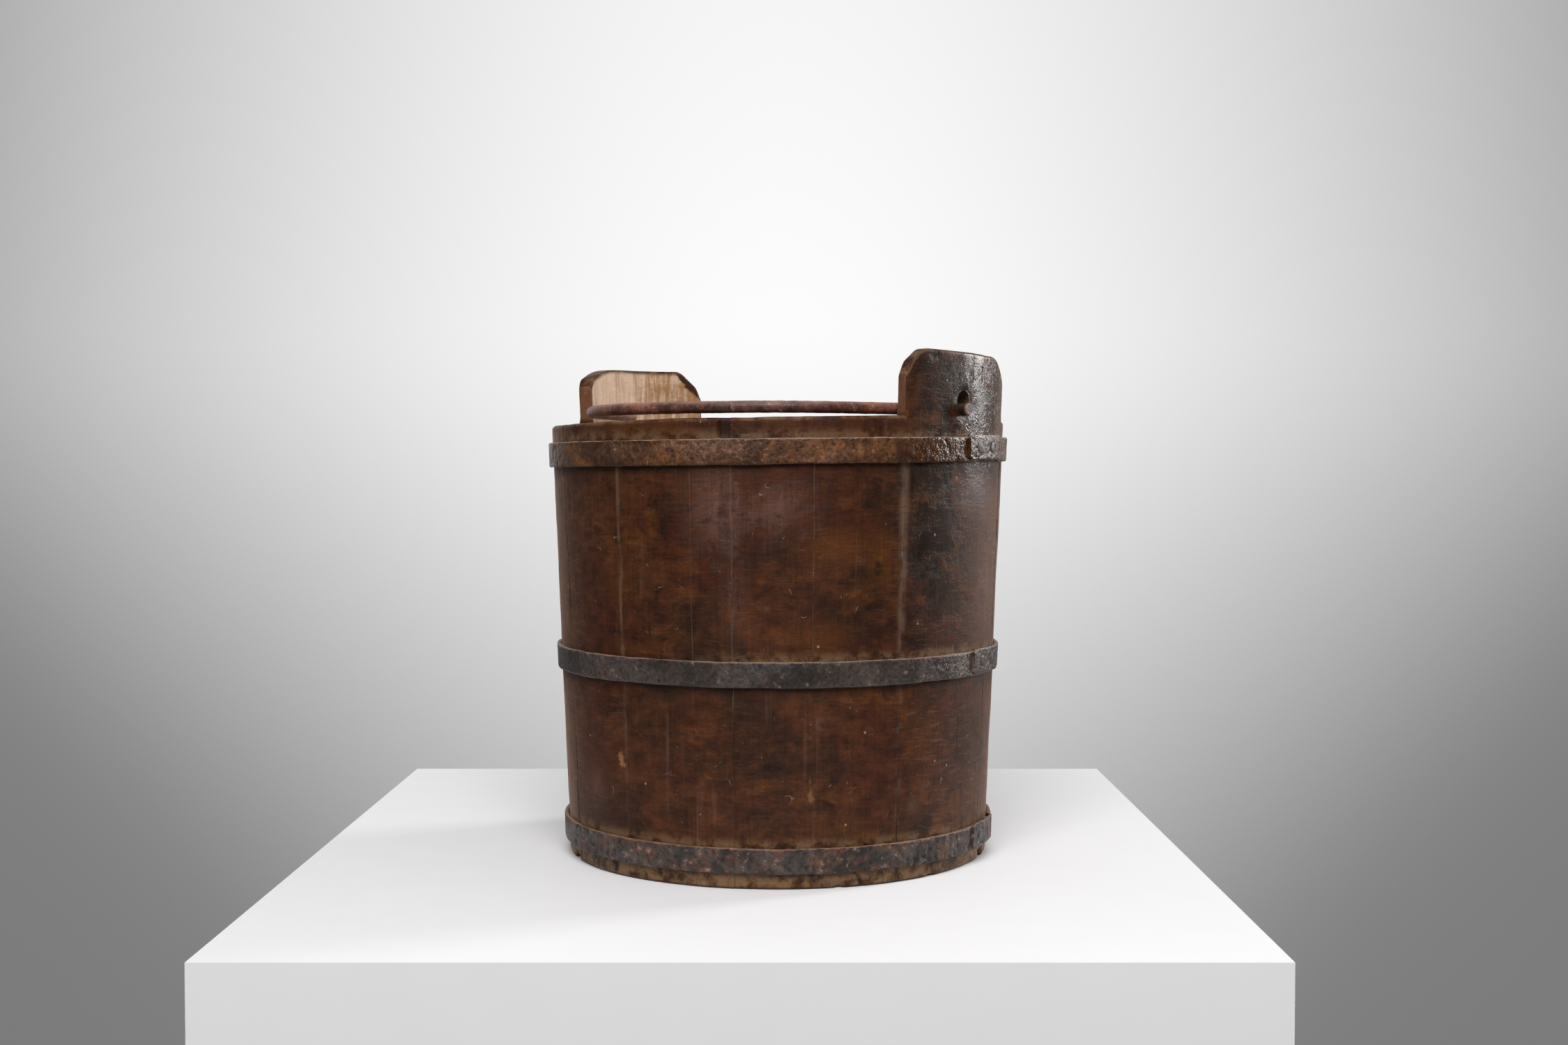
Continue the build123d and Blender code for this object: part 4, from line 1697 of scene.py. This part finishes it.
@dataclass
class Studio:
    """Camera, pale block under the bucket, backdrop and lamps."""

    camera_deg: float = 39.8
    camera_distance: float = 1.371
    camera_height: float = 0.2786
    camera_shift: float = 0.0046
    camera_pitch_deg: float = 1.80
    lens: float = 43.2
    sensor: float = 36.0
    floor_sides: Pair = (-0.330, 0.290)
    floor_ends: Pair = (-0.329, 0.338)
    floor_depth: float = 0.9
    floor_colour: Colour = (0.88, 0.87, 0.88, 1.0)
    glow_height_deg: float = 4.0
    glow_peak: float = 1.53
    glow_round: float = 0.079
    glow_sides: float = 2.62
    glow_drop: float = 0.94
    glow_rise: float = 0.43
    glow_soft: float = 0.0113
    glow_least: float = 0.19
    glow_most: float = 0.975
    side_level: float = 0.62
    ambient: float = 0.26
    behind: float = 0.05
    aim_height: float = 0.16
    lamps: tuple[Lamp, ...] = (
        Lamp("window", 115.0, 2.5, 0.84, (0.52, 1.0), 38.0),
        Lamp("overhead", 40.0, 0.45, 1.9, (1.2, 1.2), 2.0),
        Lamp("fill", -4.0, 1.75, 1.9, (1.6, 1.2), 57.0),
        Lamp("edge", -150.0, 1.6, 0.6, (0.6, 1.0), 1.6),
    )

    def towards(self, turn_deg: float) -> Vector:
        """Is the level direction from the bucket, turned to the right from the camera's side."""
        angle = radians(self.camera_deg + turn_deg)
        return Vector((sin(angle), -cos(angle), 0.0))

    def camera(self) -> None:
        """Makes the camera."""
        data = bpy.data.cameras.new("camera")
        data.lens = self.lens
        data.sensor_width = self.sensor
        eye = put("camera", data)
        place = self.towards(0.0) * self.camera_distance + self.towards(90.0) * self.camera_shift
        eye.location = place + Vector((0.0, 0.0, self.camera_height))
        eye.rotation_euler = (radians(90.0 - self.camera_pitch_deg), 0.0, radians(self.camera_deg))
        bpy.context.scene.camera = eye

    def floor(self) -> None:
        """Makes the pale block that the bucket stands on."""
        back, right = -self.towards(0.0), self.towards(90.0)
        (left_side, right_side), (near, far) = self.floor_sides, self.floor_ends
        outline = ((left_side, near), (right_side, near), (right_side, far), (left_side, far))
        corners = [right * x + back * y for x, y in outline]
        low = [corner - Vector((0.0, 0.0, self.floor_depth)) for corner in corners]
        sides = [(i, (i + 1) % 4, (i + 1) % 4 + 4, i + 4) for i in range(4)]
        mesh = bpy.data.meshes.new("floor")
        mesh.from_pydata(low + corners, [], [(3, 2, 1, 0), (4, 5, 6, 7), *sides])
        floor = put("floor", mesh)
        s = Surface("pale_paint")
        mottle = s.noise(s.where, 30.0, 3.0)
        colour = s.mix(mottle, self.floor_colour, tuple(c * 0.97 for c in self.floor_colour))
        mesh.materials.append(s.dress(colour, mottle * 0.1 + 0.6, mottle, 0.00005, 0.2))

    def backdrop(self) -> None:
        """Lights the world: a pale glow behind the bucket, and a plain level of light all round."""
        world = bpy.data.worlds.new("studio")
        world.use_nodes = True
        bpy.context.scene.world = world
        g = Graph(world.node_tree)
        g.tree.nodes.clear()
        way = g.add("ShaderNodeTexCoord", None, "Generated")
        lift = radians(self.glow_height_deg)
        ahead = -self.towards(0.0)
        centre = ahead * cos(lift) + Vector((0.0, 0.0, sin(lift)))
        upward = Vector((0.0, 0.0, cos(lift))) - ahead * sin(lift)
        side, rise, front = (
            g.vector("DOT_PRODUCT", way, tuple(axis)) for axis in (self.towards(90.0), upward, centre)
        )
        below = rise + 0.02
        drop = (below * below + 0.0009).root() - below
        level = self.glow_peak - (side * side + self.glow_round).root() * self.glow_sides
        level = level - drop * self.glow_drop - rise.most(0.0) * self.glow_rise
        level = ((level * level + self.glow_soft).root() + level) * 0.5 + self.glow_least
        level = level.least(self.glow_most)
        dim = level - (level - self.behind) * front.fade(0.5, 0.0)
        level = level.most(front.fade(0.88, 0.40) * self.side_level)
        # Seen by the camera, mirrored in gloss, or lighting the bucket
        seen = g.add("ShaderNodeLightPath", None, "Is Camera Ray")
        outputs = seen.socket.node.outputs
        mirrored = Sock(g, outputs["Is Glossy Ray"]).most(Sock(g, outputs["Is Transmission Ray"]))
        strength = level * seen + dim * mirrored + (1.0 - seen.most(mirrored)) * self.ambient
        white = (1.0, 1.0, 1.0, 1.0)
        light = g.add("ShaderNodeBackground", {"Color": white, "Strength": strength})
        out = g.tree.nodes.new("ShaderNodeOutputWorld")
        g.tree.links.new(light.socket, out.inputs["Surface"])

    def light(self) -> None:
        """Sets the lamps."""
        for lamp in self.lamps:
            data = bpy.data.lights.new(lamp.name, "AREA")
            data.shape = "RECTANGLE"
            data.size, data.size_y = lamp.size
            data.energy = lamp.power
            holder = put(lamp.name, data)
            holder.location = self.towards(lamp.turn_deg) * lamp.distance + Vector((0.0, 0.0, lamp.height))
            aim = Vector((0.0, 0.0, self.aim_height)) - holder.location
            holder.rotation_euler = aim.to_track_quat("-Z", "Y").to_euler()

    def build(self) -> None:
        """Sets up the whole studio."""
        bpy.context.scene.view_settings.view_transform = "Standard"
        self.camera()
        self.floor()
        self.backdrop()
        self.light()


def main() -> None:
    """Builds the studio and the bucket."""
    logging.basicConfig(level=logging.INFO, format="%(message)s")
    for assembly in (Studio(), StaveRing(), Hoops(), Bail(), Bottom()):
        assembly.build()


if __name__ == "__main__":
    main()
